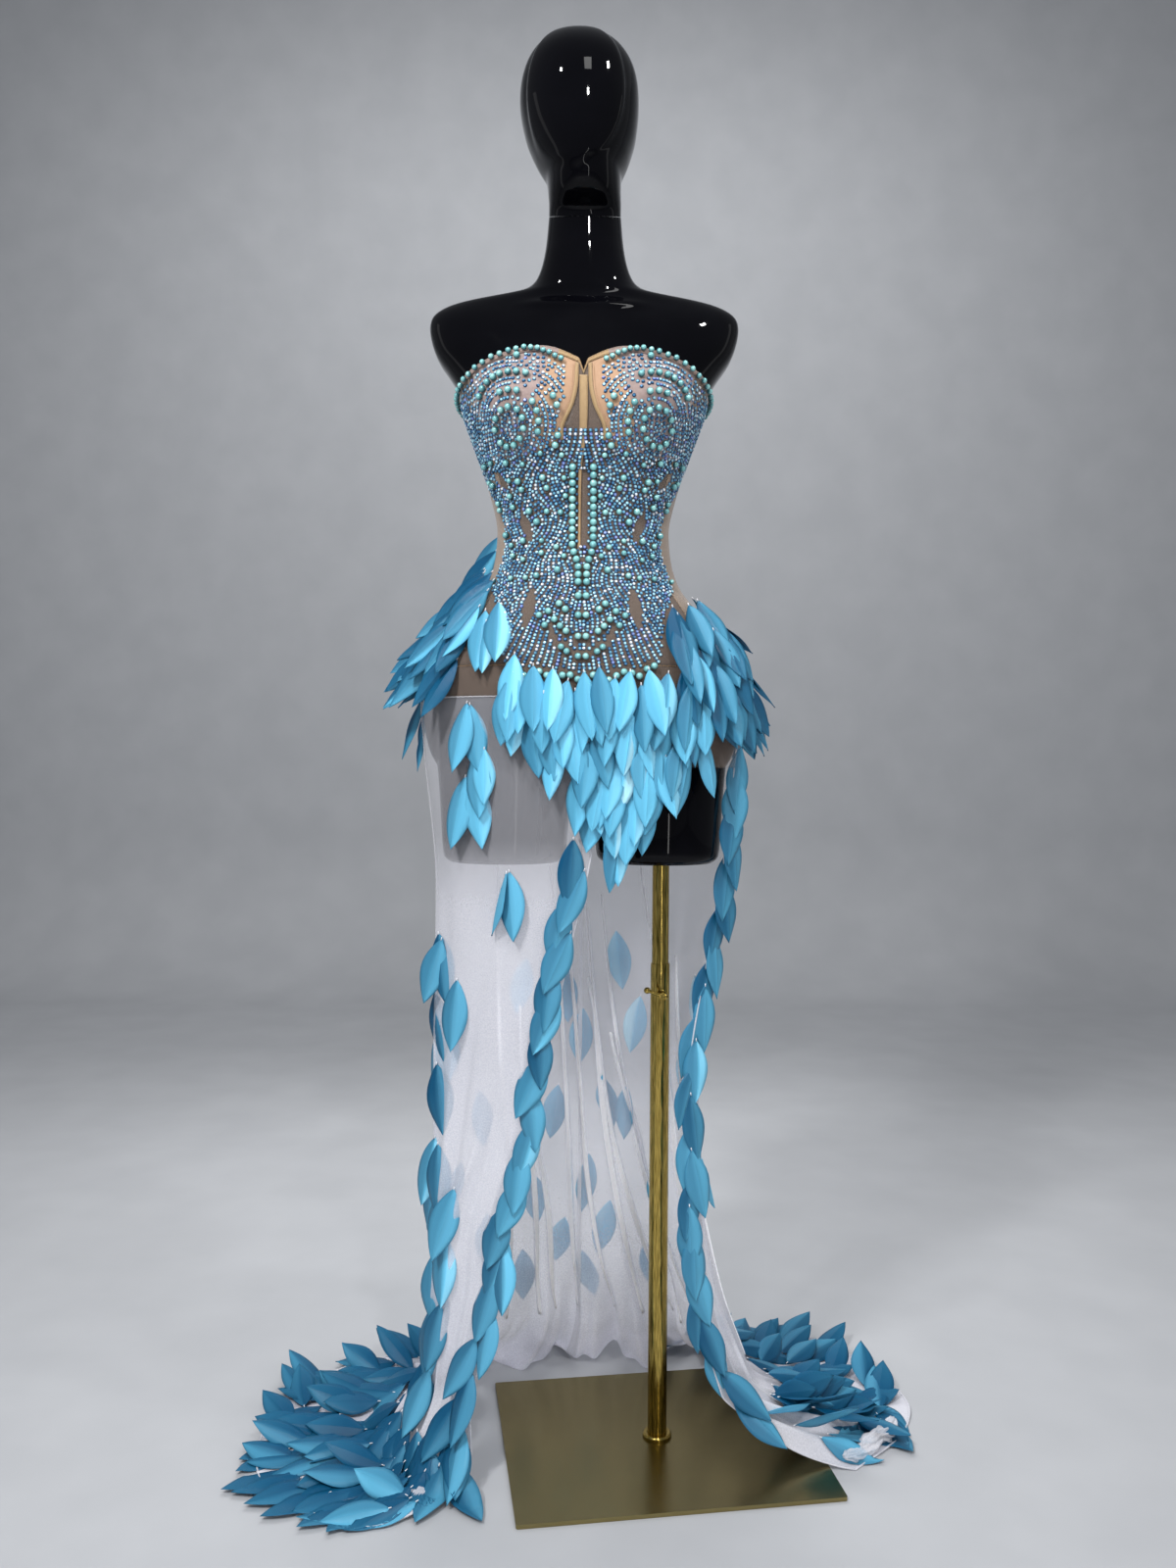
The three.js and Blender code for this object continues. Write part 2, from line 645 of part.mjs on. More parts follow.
const SKIRT_STEP = [STEP.u, STEP.v];
const HEIGHTS = [965, 950, 935, 905, 880, 850, 795, 740, 670, 600, 525, 450, 375, 300, 230, 160, 90];
const FLOOR_ROWS = [74, 60, 47, 35, 23, 11, 0];
const DOWN = [...HEIGHTS, ...FLOOR_ROWS];
const FRONT_U = [0, 0.03, 0.06, 0.1, 0.135, 0.17, 0.19, 0.21, 0.23, 0.25];
const BACK_RIGHT_U = [0.25, 0.27, 0.29, 0.31, 0.34, 0.37, 0.4, 0.43, 0.465, 0.5];
const BACK_LEFT_U = [0.5, 0.535, 0.57, 0.6, 0.63, 0.66, 0.69, 0.71, 0.73, 0.75];
const SIDE_LEFT_U = [0.75, 0.8, 0.86, 0.93, 1];
const ALL_U = [...FRONT_U, ...BACK_RIGHT_U.slice(1), ...BACK_LEFT_U.slice(1), ...SIDE_LEFT_U.slice(1)];
const skirtWall = (across, along, more = {}) =>
  wall({ surface: skirt, across, along, step: SKIRT_STEP, outward: -1, ...more });
const uBetween = (low, high) => ALL_U.filter((u) => u >= low && u <= high);
const downBetween = (high, low) => DOWN.filter((v) => v <= high && v >= low);

add(body, 'skirt_front', skirtWall(FRONT_U, DOWN), makeWhiteMesh());
add(body, 'skirt_back_right', skirtWall(BACK_RIGHT_U, DOWN), makeWhiteMesh());
add(body, 'skirt_back_left', skirtWall(BACK_LEFT_U, DOWN), makeWhiteMesh());
add(body, 'skirt_side_left', skirtWall(SIDE_LEFT_U, DOWN), makeWhiteMesh());

// The V between the slit's edges, from the yoke to the top of the slit.
function apronPanel(share, z) {
  return worn(mix(smooth(SLIT, 'z', 'right', z), smooth(SLIT, 'z', 'left', z), share), z);
}
add(body, 'apron_panel', wall({
  surface: apronPanel,
  across: [0, 0.17, 0.34, 0.5, 0.67, 0.84, 1],
  along: [SLIT_TOP, 905, 935, 950, YOKE_HEM],
  step: [0.01, STEP.z],
}), makeNudeMesh());

// ---------- the leaf trims ----------

// A trim over smooth cloth, between two angles and from its lower edge up. thick lists its thickness from
// the lower edge to the top.
function leafTrim(name, across, low, high, thick, lift = FRONT_LIFT, rows = 6) {
  const lowAt = typeof low === 'function' ? low : () => low;
  const along = Array.from({ length: rows }, (_, j) => (angle) => mix(lowAt(angle), high, j / (rows - 1)));
  const depth = (_, share) => {
    const at = share * (thick.length - 1);
    const i = Math.min(Math.floor(at), thick.length - 2);
    return lift + mix(thick[i], thick[i + 1], at - i);
  };
  add(body, name, wall({ surface: worn, across, along, step: YOKE_STEP, inner: lift, outer: depth }), makeLeaf());
}

const spread = (from, to, count) => Array.from({ length: count + 1 }, (_, i) => mix(from, to, i / count));
const apronLow = (angle) => smooth(APRON, 'angle', 'low', angle);

leafTrim('leaves_apron', spread(-44, 54, 14), apronLow, 1012, [6, 10, 12, 8, 3], THIGH_LIFT);
leafTrim('leaves_hip_right', spread(-128, -72, 10), 868, 1172, [22, 34, 40, 42, 10], SIDE_LIFT, 11);
leafTrim('leaves_hip_left', spread(56, 120, 11), 868, 1112, [18, 24, 26, 24, 6], SIDE_LIFT, 9);
leafTrim('leaves_waist', spread(-61, -46, 2), 992, 1076, [8, 7, 3]);
leafTrim('leaves_thigh', spread(-68, -47, 3), 782, 962, [8, 8, 3], THIGH_LIFT);
leafTrim('leaves_knee', spread(-48, -36, 2), 668, 752, [7, 6, 3]);

const RUN = { inner: RUN_LIFT };
const leafRun = (name, across, along, thick) =>
  add(body, name, skirtWall(across, along, { ...RUN, outer: RUN_LIFT + thick }), makeLeaf());

leafRun('leaves_edge_right', uBetween(0.17, 0.29), downBetween(670, 160), 20);
leafRun('leaves_slit_right', uBetween(0, 0.06), downBetween(740, 0), 7);
leafRun('leaves_slit_left', uBetween(0.8, 1), downBetween(850, 23), 7);
leafRun('leaves_train_right', uBetween(0.1, 0.4), downBetween(60, 0), 14);
leafRun('leaves_train_left', uBetween(0.57, 0.85), downBetween(60, 0), 14);
add(body, 'hem_roll', skirtWall(uBetween(0.86, 1), downBetween(11, 0), { ...RUN, outer: 16 }), makeWhiteMesh());

export default part;
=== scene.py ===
import math

import bmesh
import bpy
import numpy as np
from mathutils import Matrix, Vector


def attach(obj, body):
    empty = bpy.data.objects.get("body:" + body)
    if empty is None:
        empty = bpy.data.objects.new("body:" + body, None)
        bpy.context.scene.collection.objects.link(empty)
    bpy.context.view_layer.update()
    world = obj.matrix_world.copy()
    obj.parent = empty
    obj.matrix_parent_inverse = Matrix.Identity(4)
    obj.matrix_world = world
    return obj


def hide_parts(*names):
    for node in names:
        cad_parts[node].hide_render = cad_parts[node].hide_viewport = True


# A strapless mermaid gown of stretch mesh with leaf trims, on a gloss dress form and a brass pole stand.
# Shapes are worked out in millimetres, as in the part's source, and turned into metres when a mesh is made.
# The wearer faces -Y, so the wearer's right is at -X. Angles are in degrees from centre front, positive to
# the wearer's left, 180 at centre back.

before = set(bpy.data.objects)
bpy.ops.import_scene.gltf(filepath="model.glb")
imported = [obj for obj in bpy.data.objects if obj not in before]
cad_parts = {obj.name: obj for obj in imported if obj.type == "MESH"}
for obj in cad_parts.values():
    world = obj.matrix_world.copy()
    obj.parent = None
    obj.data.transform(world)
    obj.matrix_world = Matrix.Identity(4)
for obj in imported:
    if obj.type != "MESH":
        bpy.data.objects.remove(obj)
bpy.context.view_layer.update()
MM = 0.001
rng = np.random.default_rng(7)

# ---------- driving dimensions, as in the part's source ----------

EASE = 3.6  # from the form's surface to the middle of the cloth
SHELL = 0.6  # thickness of every cloth shell
BODY_X = -104  # the form's centre plane, measured from the pole
NECK_SEAM = 1590
NECK_SLOPE = {"slope": 0.41, "below": 50, "above": 36}
STUB_X = 99
BODICE_HEM = 1003
YOKE_HEM = 965
CUP_SEAM_ROW = 0.6
SIDE_SEAM = 62
CUP_EDGE = 15
SLIT_TOP = 880
HANG_FREE = 60  # below the yoke's hem the cloth leaves the form over this height
FLOOR_TURN = 90  # the height where the skirt begins to turn out over the floor
ROUNDNESS = 2.2
BUST = {"angle": 34, "spread": 25, "z": 1322, "reach": 48, "out": 30, "under_cup": 24}
FOLD = {"count": 8, "depth": 8, "from": 700, "over": 450, "twist": 0.35}
RIDGE = {"count": 9, "height": 15, "drift": 4}
PLATE = {"width": 400, "depth": 330, "thick": 5, "yaw": 8.5}


def columns(names, rows):
    """A table of rows as one array for each named column."""
    return {key: np.array([row[i] for row in rows], float) for i, key in enumerate(names.split())}


TORSO = columns("z width front back power", [
    [850, 150, 76, 80, 2.2],
    [880, 186, 98, 108, 2.2],
    [915, 201, 112, 124, 2.2],
    [960, 205, 117, 126, 2.2],
    [1010, 194, 114, 116, 2.2],
    [1060, 163, 105, 98, 2.2],
    [1113, 120, 93, 84, 2.1],
    [1180, 107, 84, 78, 2.1],
    [1230, 117, 90, 82, 2.2],
    [1279, 132, 98, 88, 2.3],
    [1325, 149, 100, 98, 2.4],
    [1355, 157, 98, 102, 2.5],
    [1383, 174, 92, 102, 2.6],
    [1405, 189, 84, 97, 2.7],
    [1428, 197, 75, 89, 2.7],
    [1446, 198.5, 65, 79, 2.7],
    [1459, 193, 57, 69, 2.6],
    [1471, 171, 51, 62, 2.4],
    [1479, 131, 49, 58, 2.2],
    [1485, 97, 50, 55, 2],
    [1493, 76, 50, 52, 2],
    [1504, 64, 50, 50, 2],
    [1524, 55.5, 49, 46, 2],
    [1552, 50, 47, 44, 2],
    [NECK_SEAM, 46.5, 45, 44, 2],
])

HEAD = columns("z width front back side", [
    [NECK_SEAM, 46.5, 45, 44, 0],
    [1598, 46.5, 49, 45, 0],
    [1606, 46.6, 66, 45.5, 0],
    [1613, 46.8, 79, 46, -0.5],
    [1624, 47.3, 87, 48, -1],
    [1637, 49, 91, 54, -2],
    [1661, 60.5, 95.5, 70, -4],
    [1690, 71, 98, 86, -6],
    [1728, 76.5, 96, 98, -8],
    [1763, 73, 87, 97, -8],
    [1790, 60, 68, 82, -8],
    [1807, 40, 44, 56, -8],
    [1815, 16, 18, 24, -8],
])

STUB = columns("z width front back", [
    [758, 70, 74, 74],
    [762, 77, 81, 81],
    [773, 80, 84, 84],
    [850, 85, 88, 90],
    [905, 90, 94, 98],
])

SKIRT = columns("z right left front back", [
    [90, 192, 217, 118, 172],
    [172, 189, 187, 104, 155],
    [285, 190, 165, 98, 140],
    [364, 190, 156, 100, 132],
    [500, 188, 149, 102, 126],
    [650, 188, 168, 106, 124],
    [756, 189, 186, 112, 126],
    [850, 199, 199, 119, 130],
    [905, 205, 205, 119, 128],
    [965, 209, 209, 120, 129],
])

SLIT = columns("z right left", [
    [90, -56, 70],
    [157, -54, 69],
    [232, -47, 65],
    [307, -44, 65],
    [405, -31, 70],
    [525, -21, 75],
    [644, -8, 82],
    [764, 6, 81],
    [871, 12, 78],
    [965, 15, 80],
])

HEM = columns("u x y down", [
    [0, -115, -184, 0.62],
    [0.08, -245, -192, 0.5],
    [0.17, -375, -120, 0.5],
    [0.25, -414, -10, 0.5],
    [0.33, -395, 120, 0.5],
    [0.42, -250, 235, 0.5],
    [0.5, -40, 275, 0.5],
    [0.58, 150, 300, 0.55],
    [0.67, 350, 290, 0.8],
    [0.75, 450, 140, 0.66],
    [0.88, 435, 20, 0.82],
    [1, 350, -70, 1],
])

NECKLINE = columns("angle z seam", [
    [0, 1358, 1280],
    [12, 1372, 1278],
    [33, 1391, 1262],
    [50, 1385, 1260],
    [65, 1368, 1264],
    [85, 1353, 1266],
    [180, 1335, 1266],
])

CUP_INNER = columns("z angle", [
    [965, 6],
    [1140, 7],
    [1230, 9],
    [1285, 12.5],
    [1315, 6.2],
    [1337, 3.6],
    [1360, 3.2],
    [1400, 3.2],
])

BONE = columns("z middle half", [
    [1140, -2.7, 1],
    [1240, -2.2, 1.2],
    [1288, 0, 2.4],
    [1360, 0, 2.6],
])

APRON = columns("angle low", [
    [-44, 905],
    [-18, 848],
    [4, 800],
    [18, 737],
    [36, 780],
    [54, 830],
])

# ---------- curves and surfaces, on arrays ----------


def smooth(table, key, field, at):
    """A smooth curve through one column of a table, at values of its key column."""
    xs, ys = table[key], table[field]
    held = np.clip(at, xs[0], xs[-1])
    i = np.searchsorted(xs[1:-1], held)
    before = np.concatenate([xs[:1], xs[:-1]]), np.concatenate([ys[:1], ys[:-1]])
    after = np.concatenate([xs[1:], xs[-1:]]), np.concatenate([ys[1:], ys[-1:]])
    slope = (after[1] - before[1]) / (after[0] - before[0])
    span = xs[i + 1] - xs[i]
    t = (held - xs[i]) / span
    rise = t * t * (3 - 2 * t)
    lead = t * (1 - t) * (1 - t) * span * slope[i]
    lag = t * t * (t - 1) * span * slope[i + 1]
    return ys[i] * (1 - rise) + ys[i + 1] * rise + lead + lag


def mix(a, b, t):
    return a + (b - a) * t


def ease(low, high, at):
    """0 below low, 1 above high, and a soft step between."""
    t = np.clip((at - low) / (high - low), 0, 1)
    return t * t * (3 - 2 * t)


def polar(angle, radius, z):
    turn = np.radians(angle)
    return np.stack(np.broadcast_arrays(BODY_X + radius * np.sin(turn), -radius * np.cos(turn), z), -1)


def section_radius(angle, right, left, front, back, power):
    """Distance from the axis to a rounded section that has its own size on each of four sides."""
    sin, cos = np.sin(np.radians(angle)), np.cos(np.radians(angle))
    side = np.abs(sin) / np.where(sin < 0, right, left)
    ahead = np.abs(cos) / np.where(cos > 0, front, back)
    return (side ** power + ahead ** power) ** (-1 / power)


def turned(angle):
    return (np.asarray(angle, float) + 180) % 360 - 180


def bust_at(angle, z):
    """How far one moulded bust stands out, as a share of its height."""
    down = (z - BUST["z"]) / BUST["reach"]
    return sum(np.exp(-(((angle - side * BUST["angle"]) / BUST["spread"]) ** 2) - down * down)
               for side in (-1, 1))


def clothed_radius(angle, z):
    wide = smooth(TORSO, "z", "width", z)
    sides = [wide, wide] + [smooth(TORSO, "z", name, z) for name in ("front", "back", "power")]
    return section_radius(angle, *sides) + BUST["out"] * bust_at(turned(angle), z)


def skirt_radius(angle, z):
    sides = [smooth(SKIRT, "z", name, z) for name in ("right", "left", "front", "back")]
    fall = ease(0, FOLD["over"], FOLD["from"] - z)
    behind = 0.6 - 0.4 * np.cos(np.radians(angle))
    wave = np.sin(np.radians(FOLD["count"] * angle + FOLD["twist"] * (FOLD["from"] - z) * 2))
    return section_radius(angle, *sides, ROUNDNESS) + FOLD["depth"] * fall * behind * wave


def worn(angle, z):
    """The middle of the worn cloth: on the form above the yoke's hem, hanging below it."""
    hang = np.clip((YOKE_HEM - z) / HANG_FREE, 0, 1)
    return polar(angle, mix(clothed_radius(angle, z) + EASE, skirt_radius(angle, z), hang), z)


def bodice_angle(nominal, z):
    size = np.abs(nominal)
    edge = smooth(CUP_INNER, "z", "angle", z)
    side = np.sign(nominal) * mix(edge, SIDE_SEAM, (size - CUP_EDGE) / (SIDE_SEAM - CUP_EDGE))
    return np.where(size <= CUP_EDGE, nominal / CUP_EDGE * edge, np.where(size >= SIDE_SEAM, nominal, side))


def bodice(nominal, row):
    """The bodice by nominal angle and row: 0 at the bodice hem, 1 at the neckline."""
    size = np.abs(turned(nominal))
    top = smooth(NECKLINE, "angle", "z", size)
    seam = smooth(NECKLINE, "angle", "seam", size)
    low = mix(BODICE_HEM, seam, row / CUP_SEAM_ROW)
    high = mix(seam, top, (row - CUP_SEAM_ROW) / (1 - CUP_SEAM_ROW))
    z = np.where(row < CUP_SEAM_ROW, low, high)
    return worn(bodice_angle(nominal, z), z)


def skirt_angle(u, z):
    right = smooth(SLIT, "z", "right", z)
    left = smooth(SLIT, "z", "left", z) - 360
    return np.where(u < 0.25, mix(right, -90, u / 0.25),
                    np.where(u < 0.75, mix(-90, -270, (u - 0.25) / 0.5), mix(-270, left, (u - 0.75) / 0.25)))


def skirt(u, v):
    """The skirt by u, from 0 at the slit's right edge to 1 at its left one, and by v: its height, and below
    the turn at the floor how far it still is to the hem."""
    height = np.maximum(v, FLOOR_TURN)
    hanging = worn(skirt_angle(u, height), height)
    share = np.clip(1 - v / FLOOR_TURN, 0, 1)
    out = share ** 1.5
    fallen = np.maximum(1 - share / smooth(HEM, "u", "down", u), 0) ** 1.3
    wave = 0.5 + 0.5 * np.cos(2 * np.pi * RIDGE["count"] * u + RIDGE["drift"] * share)
    ridge = RIDGE["height"] * np.sin(np.pi * np.minimum(share, 0.95)) * wave
    z = np.where(share > 0, FLOOR_TURN * fallen + ridge + 0.75, v)
    x = mix(hanging[..., 0], BODY_X + smooth(HEM, "u", "x", u), out)
    y = mix(hanging[..., 1], smooth(HEM, "u", "y", u), out)
    return np.stack([x, y, z], -1)


def unit(vectors):
    return vectors / np.maximum(np.linalg.norm(vectors, axis=-1, keepdims=True), 1e-9)


def normals(surface, s, t, step, outward=1):
    """Directions straight out of a surface of two coordinates."""
    across = surface(s + step[0], t) - surface(s - step[0], t)
    along = surface(s, t + step[1]) - surface(s, t - step[1])
    return unit(np.cross(across, along)) * outward


ON_BODY = (0.5, 1)  # finite steps for the two coordinates of each surface
ON_BODICE = (0.5, 0.004)
ON_SKIRT = (0.002, 1)

# ---------- creases, listed one by one -------

# Long soft ridges of the hanging skirt: u at the upper and lower end, the heights between which it shows,
# how far it stands out (a trough where negative) and half its width, in millimetres.
CREASES = [
    # front panel
    [0.05, 0.06, 700, 120, 3, 9],
    [0.09, 0.1, 520, 95, -5, 12],
    [0.115, 0.135, 460, 92, 6, 7],
    [0.14, 0.16, 640, 92, -5, 10],
    [0.17, 0.185, 560, 110, 5, 9],
    [0.2, 0.21, 820, 240, -3, 12],
    [0.225, 0.232, 700, 92, 4, 8],
    # right back panel
    [0.28, 0.3, 760, 92, 6, 10],
    [0.33, 0.365, 690, 92, -6, 12],
    [0.36, 0.4, 830, 92, 8, 6],
    [0.4, 0.45, 560, 92, 8, 5],
    [0.42, 0.475, 430, 92, 7, 4.5],
    [0.44, 0.5, 830, 92, 10, 5],
    [0.465, 0.545, 700, 92, 9, 4.5],
    # left back panel
    [0.49, 0.58, 800, 92, 11, 4.5],
    [0.505, 0.61, 600, 92, 9, 4],
    [0.53, 0.63, 720, 92, 11, 5],
    [0.55, 0.66, 520, 92, 8, 4],
    [0.6, 0.69, 760, 92, 10, 5.5],
    [0.645, 0.7, 820, 92, -6, 9],
    [0.66, 0.72, 640, 92, 7, 6],
    # left side panel
    [0.78, 0.79, 780, 92, 4, 8],
    [0.83, 0.85, 620, 92, -5, 10],
    [0.88, 0.9, 700, 92, 5, 7],
    [0.95, 0.955, 560, 92, 4, 6],
]
ROUND_SKIRT = 1000  # about how far it is round the skirt, from slit edge to slit edge
CORNER = {"cut": 60, "wide": 0.08}

# The waves of the back hem where it meets the floor, with the first and the last u that they reach.
PUDDLE = {"top": 170, "depth": 13, "waves": 17, "first": 0.36, "last": 0.68}


def crease_line(top_u, low_u, share):
    """Where a crease runs, a share of the way down it."""
    return mix(top_u, low_u, share) + 0.004 * np.sin(share * 7 + top_u * 40)


def crease_height(u, v):
    total = np.zeros(np.broadcast(u, v).shape)
    for top_u, low_u, top, low, out, half in CREASES:
        share = np.clip((top - v) / (top - low), 0, 1)
        away = (u - crease_line(top_u, low_u, share)) * ROUND_SKIRT / half
        fades = ease(0, 0.3, share) * ease(0.25, 1, v / FLOOR_TURN)
        total = total + out * np.exp(-away * away) * fades
    within = ease(PUDDLE["first"], PUDDLE["first"] + 0.06, u) * ease(PUDDLE["last"], PUDDLE["last"] - 0.06, u)
    wave = np.sin(u * 2 * np.pi * PUDDLE["waves"]) + 0.5 * np.sin(u * 2 * np.pi * PUDDLE["waves"] * 2.3 + 1)
    return total + PUDDLE["depth"] * wave * within * ease(PUDDLE["top"], 60, v)


def draped_skirt(u, v):
    """The skirt with its creases, and with the corner of its hem at the slit rounded off."""
    u, v = np.broadcast_arrays(np.asarray(u, float), np.asarray(v, float))
    corner = CORNER["cut"] * np.clip(1 - u / CORNER["wide"], 0, 1) ** 1.6
    v = np.where(v < FLOOR_TURN, mix(corner, FLOOR_TURN, v / FLOOR_TURN), v)
    base = skirt(u, v)
    out = normals(skirt, np.clip(u, 0.002, 0.998), np.maximum(v, 1), ON_SKIRT, -1)
    draped = base + out * crease_height(u, v)[..., None]
    draped[..., 2] = np.maximum(draped[..., 2], 0.9)
    return draped


# ---------- meshes ----------


def in_scene(name, data):
    obj = bpy.data.objects.new(name, data)
    bpy.context.scene.collection.objects.link(obj)
    return obj


def new_object(name, points, faces, material, soft=True):
    """A mesh object from points in millimetres."""
    mesh = bpy.data.meshes.new(name)
    mesh.from_pydata((np.asarray(points, float).reshape(-1, 3) * MM).tolist(), [], faces)
    mesh.update()
    if soft:
        mesh.shade_smooth()
    mesh.materials.append(material)
    return in_scene(name, mesh)


def dress(obj, *nodes, slot=None, body="stand"):
    """Puts a piece on a body, with the CAD nodes that it stands for. slot is not used."""
    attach(obj, body)
    if nodes:
        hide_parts(*nodes)
    return obj


def grid_faces(rows, cols, closed=False):
    """Quads of a grid of points, row after row. A closed one joins each row's ends."""
    wide = cols if closed else cols - 1
    return [(j * cols + i, j * cols + (i + 1) % cols, (j + 1) * cols + (i + 1) % cols, (j + 1) * cols + i)
            for j in range(rows - 1) for i in range(wide)]


def capped_faces(rows, cols):
    """Faces of a closed body through rings of points, with one face over each end."""
    return grid_faces(rows, cols, closed=True) + [
        tuple(range(cols))[::-1],
        tuple((rows - 1) * cols + i for i in range(cols)),
    ]


def joined(parts):
    """The points and the faces of several shapes as those of one."""
    points, faces, start = [], [], 0
    for more, group in parts:
        points.append(np.reshape(more, (-1, 3)))
        faces += [tuple(start + i for i in face) for face in group]
        start += len(points[-1])
    return np.concatenate(points), faces


def solidify(obj, thickness):
    shell = obj.modifiers.new("thickness", "SOLIDIFY")
    shell.thickness = thickness * MM
    shell.offset = 0
    return obj


def finer(values, longest):
    """The same run of values with more between them, none further apart than longest."""
    parts = [np.linspace(a, b, int(abs(b - a) / longest) + 2)[:-1] for a, b in zip(values, values[1:])]
    return np.concatenate(parts + [[values[-1]]])


def panel(name, surface, across, along, material, step, outward=1, lift=0, thick=SHELL):
    """A cloth shell over a grid of a surface's two coordinates, lifted off it by a distance."""
    s, t = np.meshgrid(across, along)
    points = surface(s, t)
    if lift:
        points = points + normals(surface, s, t, step, outward) * lift
    obj = new_object(name, points, grid_faces(len(along), len(across)), material)
    return solidify(obj, thick)


def tube(name, path, radius, material):
    """A tube along points in millimetres."""
    sides = 8
    ahead = unit(np.gradient(path, axis=0))
    up = unit(np.cross(ahead, np.where(np.abs(ahead[:, 2:3]) > 0.9, [[1.0, 0, 0]], [[0, 0, 1.0]])))
    other = np.cross(ahead, up)
    turn = np.linspace(0, 2 * np.pi, sides, endpoint=False)
    ring = np.cos(turn)[None, :, None] * up[:, None] + np.sin(turn)[None, :, None] * other[:, None]
    return new_object(name, path[:, None] + ring * radius, capped_faces(len(path), sides), material)


def copies(template, faces, places, turns, sizes):
    """Many copies of one small shape: its points, its faces, and each copy's place, axes and size."""
    points = np.einsum("nij,vj->nvi", turns, template) * np.reshape(sizes, (-1, 1, 1)) + places[:, None]
    count = len(template)
    all_faces = [tuple(n * count + i for i in face) for n in range(len(places)) for face in faces]
    return points.reshape(-1, 3), all_faces


def axes_on(normal, spin):
    """Turning matrices that stand a shape's +Z along each normal, turned about it by spin radians."""
    helper = np.where(np.abs(normal[:, 2:3]) > 0.9, [[1.0, 0, 0]], [[0, 0, 1.0]])
    x = unit(np.cross(helper, normal))
    y = np.cross(normal, x)
    cos, sin = np.cos(spin)[:, None], np.sin(spin)[:, None]
    return np.stack([x * cos + y * sin, y * cos - x * sin, normal], -1)


def tint(obj, values):
    """Keeps a colour with each point, for the material's Attribute node named tint."""
    colours = np.ones((len(obj.data.vertices), 4))
    colours[:, :3] = values
    layer = obj.data.color_attributes.new("tint", "FLOAT_COLOR", "POINT")
    layer.data.foreach_set("color", colours.ravel())


# ---------- materials ----------


class Finish:
    """A material under construction: its nodes, and short ways to add the ones used here."""

    def __init__(self, name, roughness=0.5, metallic=0.0):
        self.material = bpy.data.materials.new(name)
        self.material.use_nodes = True
        self.nodes = self.material.node_tree.nodes
        self.links = self.material.node_tree.links
        self.shader = self.nodes["Principled BSDF"]
        self.shader.inputs["Roughness"].default_value = roughness
        self.shader.inputs["Metallic"].default_value = metallic
        self.place = self.nodes.new("ShaderNodeTexCoord").outputs["Object"]

    def node(self, kind, output, inputs, **settings):
        """Adds a node, whose inputs are values or other nodes' outputs, and gives one of its outputs."""
        node = self.nodes.new("ShaderNode" + kind)
        for name, value in settings.items():
            setattr(node, name, value)
        for name, value in inputs.items():
            if isinstance(value, bpy.types.NodeSocket):
                self.links.new(value, node.inputs[name])
            else:
                node.inputs[name].default_value = value
        return node.outputs[output]

    def stretched(self, scale, turn=0.0):
        inputs = {"Vector": self.place, "Scale": scale, "Rotation": (0, 0, turn)}
        return self.node("Mapping", "Vector", inputs)

    def noise(self, scale, detail, vector=None):
        inputs = {"Vector": vector or self.place, "Scale": scale, "Detail": detail}
        return self.node("TexNoise", "Fac", inputs)

    def wave(self, scale, axis, distortion):
        inputs = {"Vector": self.place, "Scale": scale, "Distortion": distortion}
        return self.node("TexWave", "Fac", inputs, bands_direction=axis)

    def tint_with_painted_light(self):
        return self.node("Attribute", "Color", {}, attribute_name="tint")

    def maths(self, kind, a, b):
        return self.node("Math", 0, {0: a, 1: b}, operation=kind)

    def between(self, factor, low, high, start=0.0, end=1.0):
        """A number or colour that goes from low to high as factor goes from start to end."""
        if isinstance(low, (int, float)):
            limits = {"From Min": start, "From Max": end, "To Min": low, "To Max": high}
            return self.node("MapRange", "Result", {"Value": factor, **limits})
        node = self.nodes.new("ShaderNodeValToRGB")
        first, last = node.color_ramp.elements
        first.position, last.position = start, end
        first.color, last.color = (*low, 1), (*high, 1)
        self.links.new(factor, node.inputs["Fac"])
        return node.outputs["Color"]

    def blend(self, colour, other, factor):
        """A colour with some of another over it. The numbers are the node's own sockets for colours."""
        return self.node("Mix", 2, {6: colour, 7: (*other, 1), 0: factor}, data_type="RGBA")

    def colour(self, output):
        self.links.new(output, self.shader.inputs["Base Color"])

    def roughness(self, output):
        self.links.new(output, self.shader.inputs["Roughness"])

    def bump(self, output, height):
        normal = self.node("Bump", "Normal", {"Height": output, "Distance": height * MM})
        self.links.new(normal, self.shader.inputs["Normal"])

    def set(self, **values):
        for name, value in values.items():
            self.shader.inputs[name.replace("_", " ").title().replace("Ior", "IOR")].default_value = value


def brushed_brass():
    m = Finish("brushed_brass", metallic=1.0)
    lines = m.noise(90, 4, m.stretched((0.5, 60, 60), math.radians(-PLATE["yaw"])))
    clouds = m.noise(9, 3)
    base = m.between(lines, (0.26, 0.215, 0.09), (0.36, 0.29, 0.13), 0.3, 0.7)
    m.colour(m.blend(base, (0.2, 0.165, 0.07), m.between(clouds, 0.0, 0.4, 0.45, 0.8)))
    m.roughness(m.between(lines, 0.2, 0.27, 0.3, 0.7))
    m.bump(lines, 0.03)
    return m.material


def polished_brass():
    m = Finish("polished_brass", metallic=1.0)
    # The colour runs from dark to bright in long upright streaks: painted reflections, as a polished pole
    # shows them.
    painted_reflection_streaks = m.noise(40, 3, m.stretched((30, 30, 1.2)))
    m.colour(m.between(painted_reflection_streaks, (0.22, 0.155, 0.03), (0.76, 0.55, 0.15), 0.36, 0.68))
    m.roughness(m.between(painted_reflection_streaks, 0.07, 0.2, 0.3, 0.7))
    return m.material


def gloss_black():
    m = Finish("gloss_black", roughness=0.05)
    smears = m.noise(7, 4)
    m.colour(m.between(smears, (0.0012, 0.0012, 0.002), (0.0026, 0.0026, 0.004), 0.4, 0.8))
    m.set(specular_ior_level=0.15)
    m.roughness(m.between(smears, 0.03, 0.085, 0.45, 0.85))
    return m.material


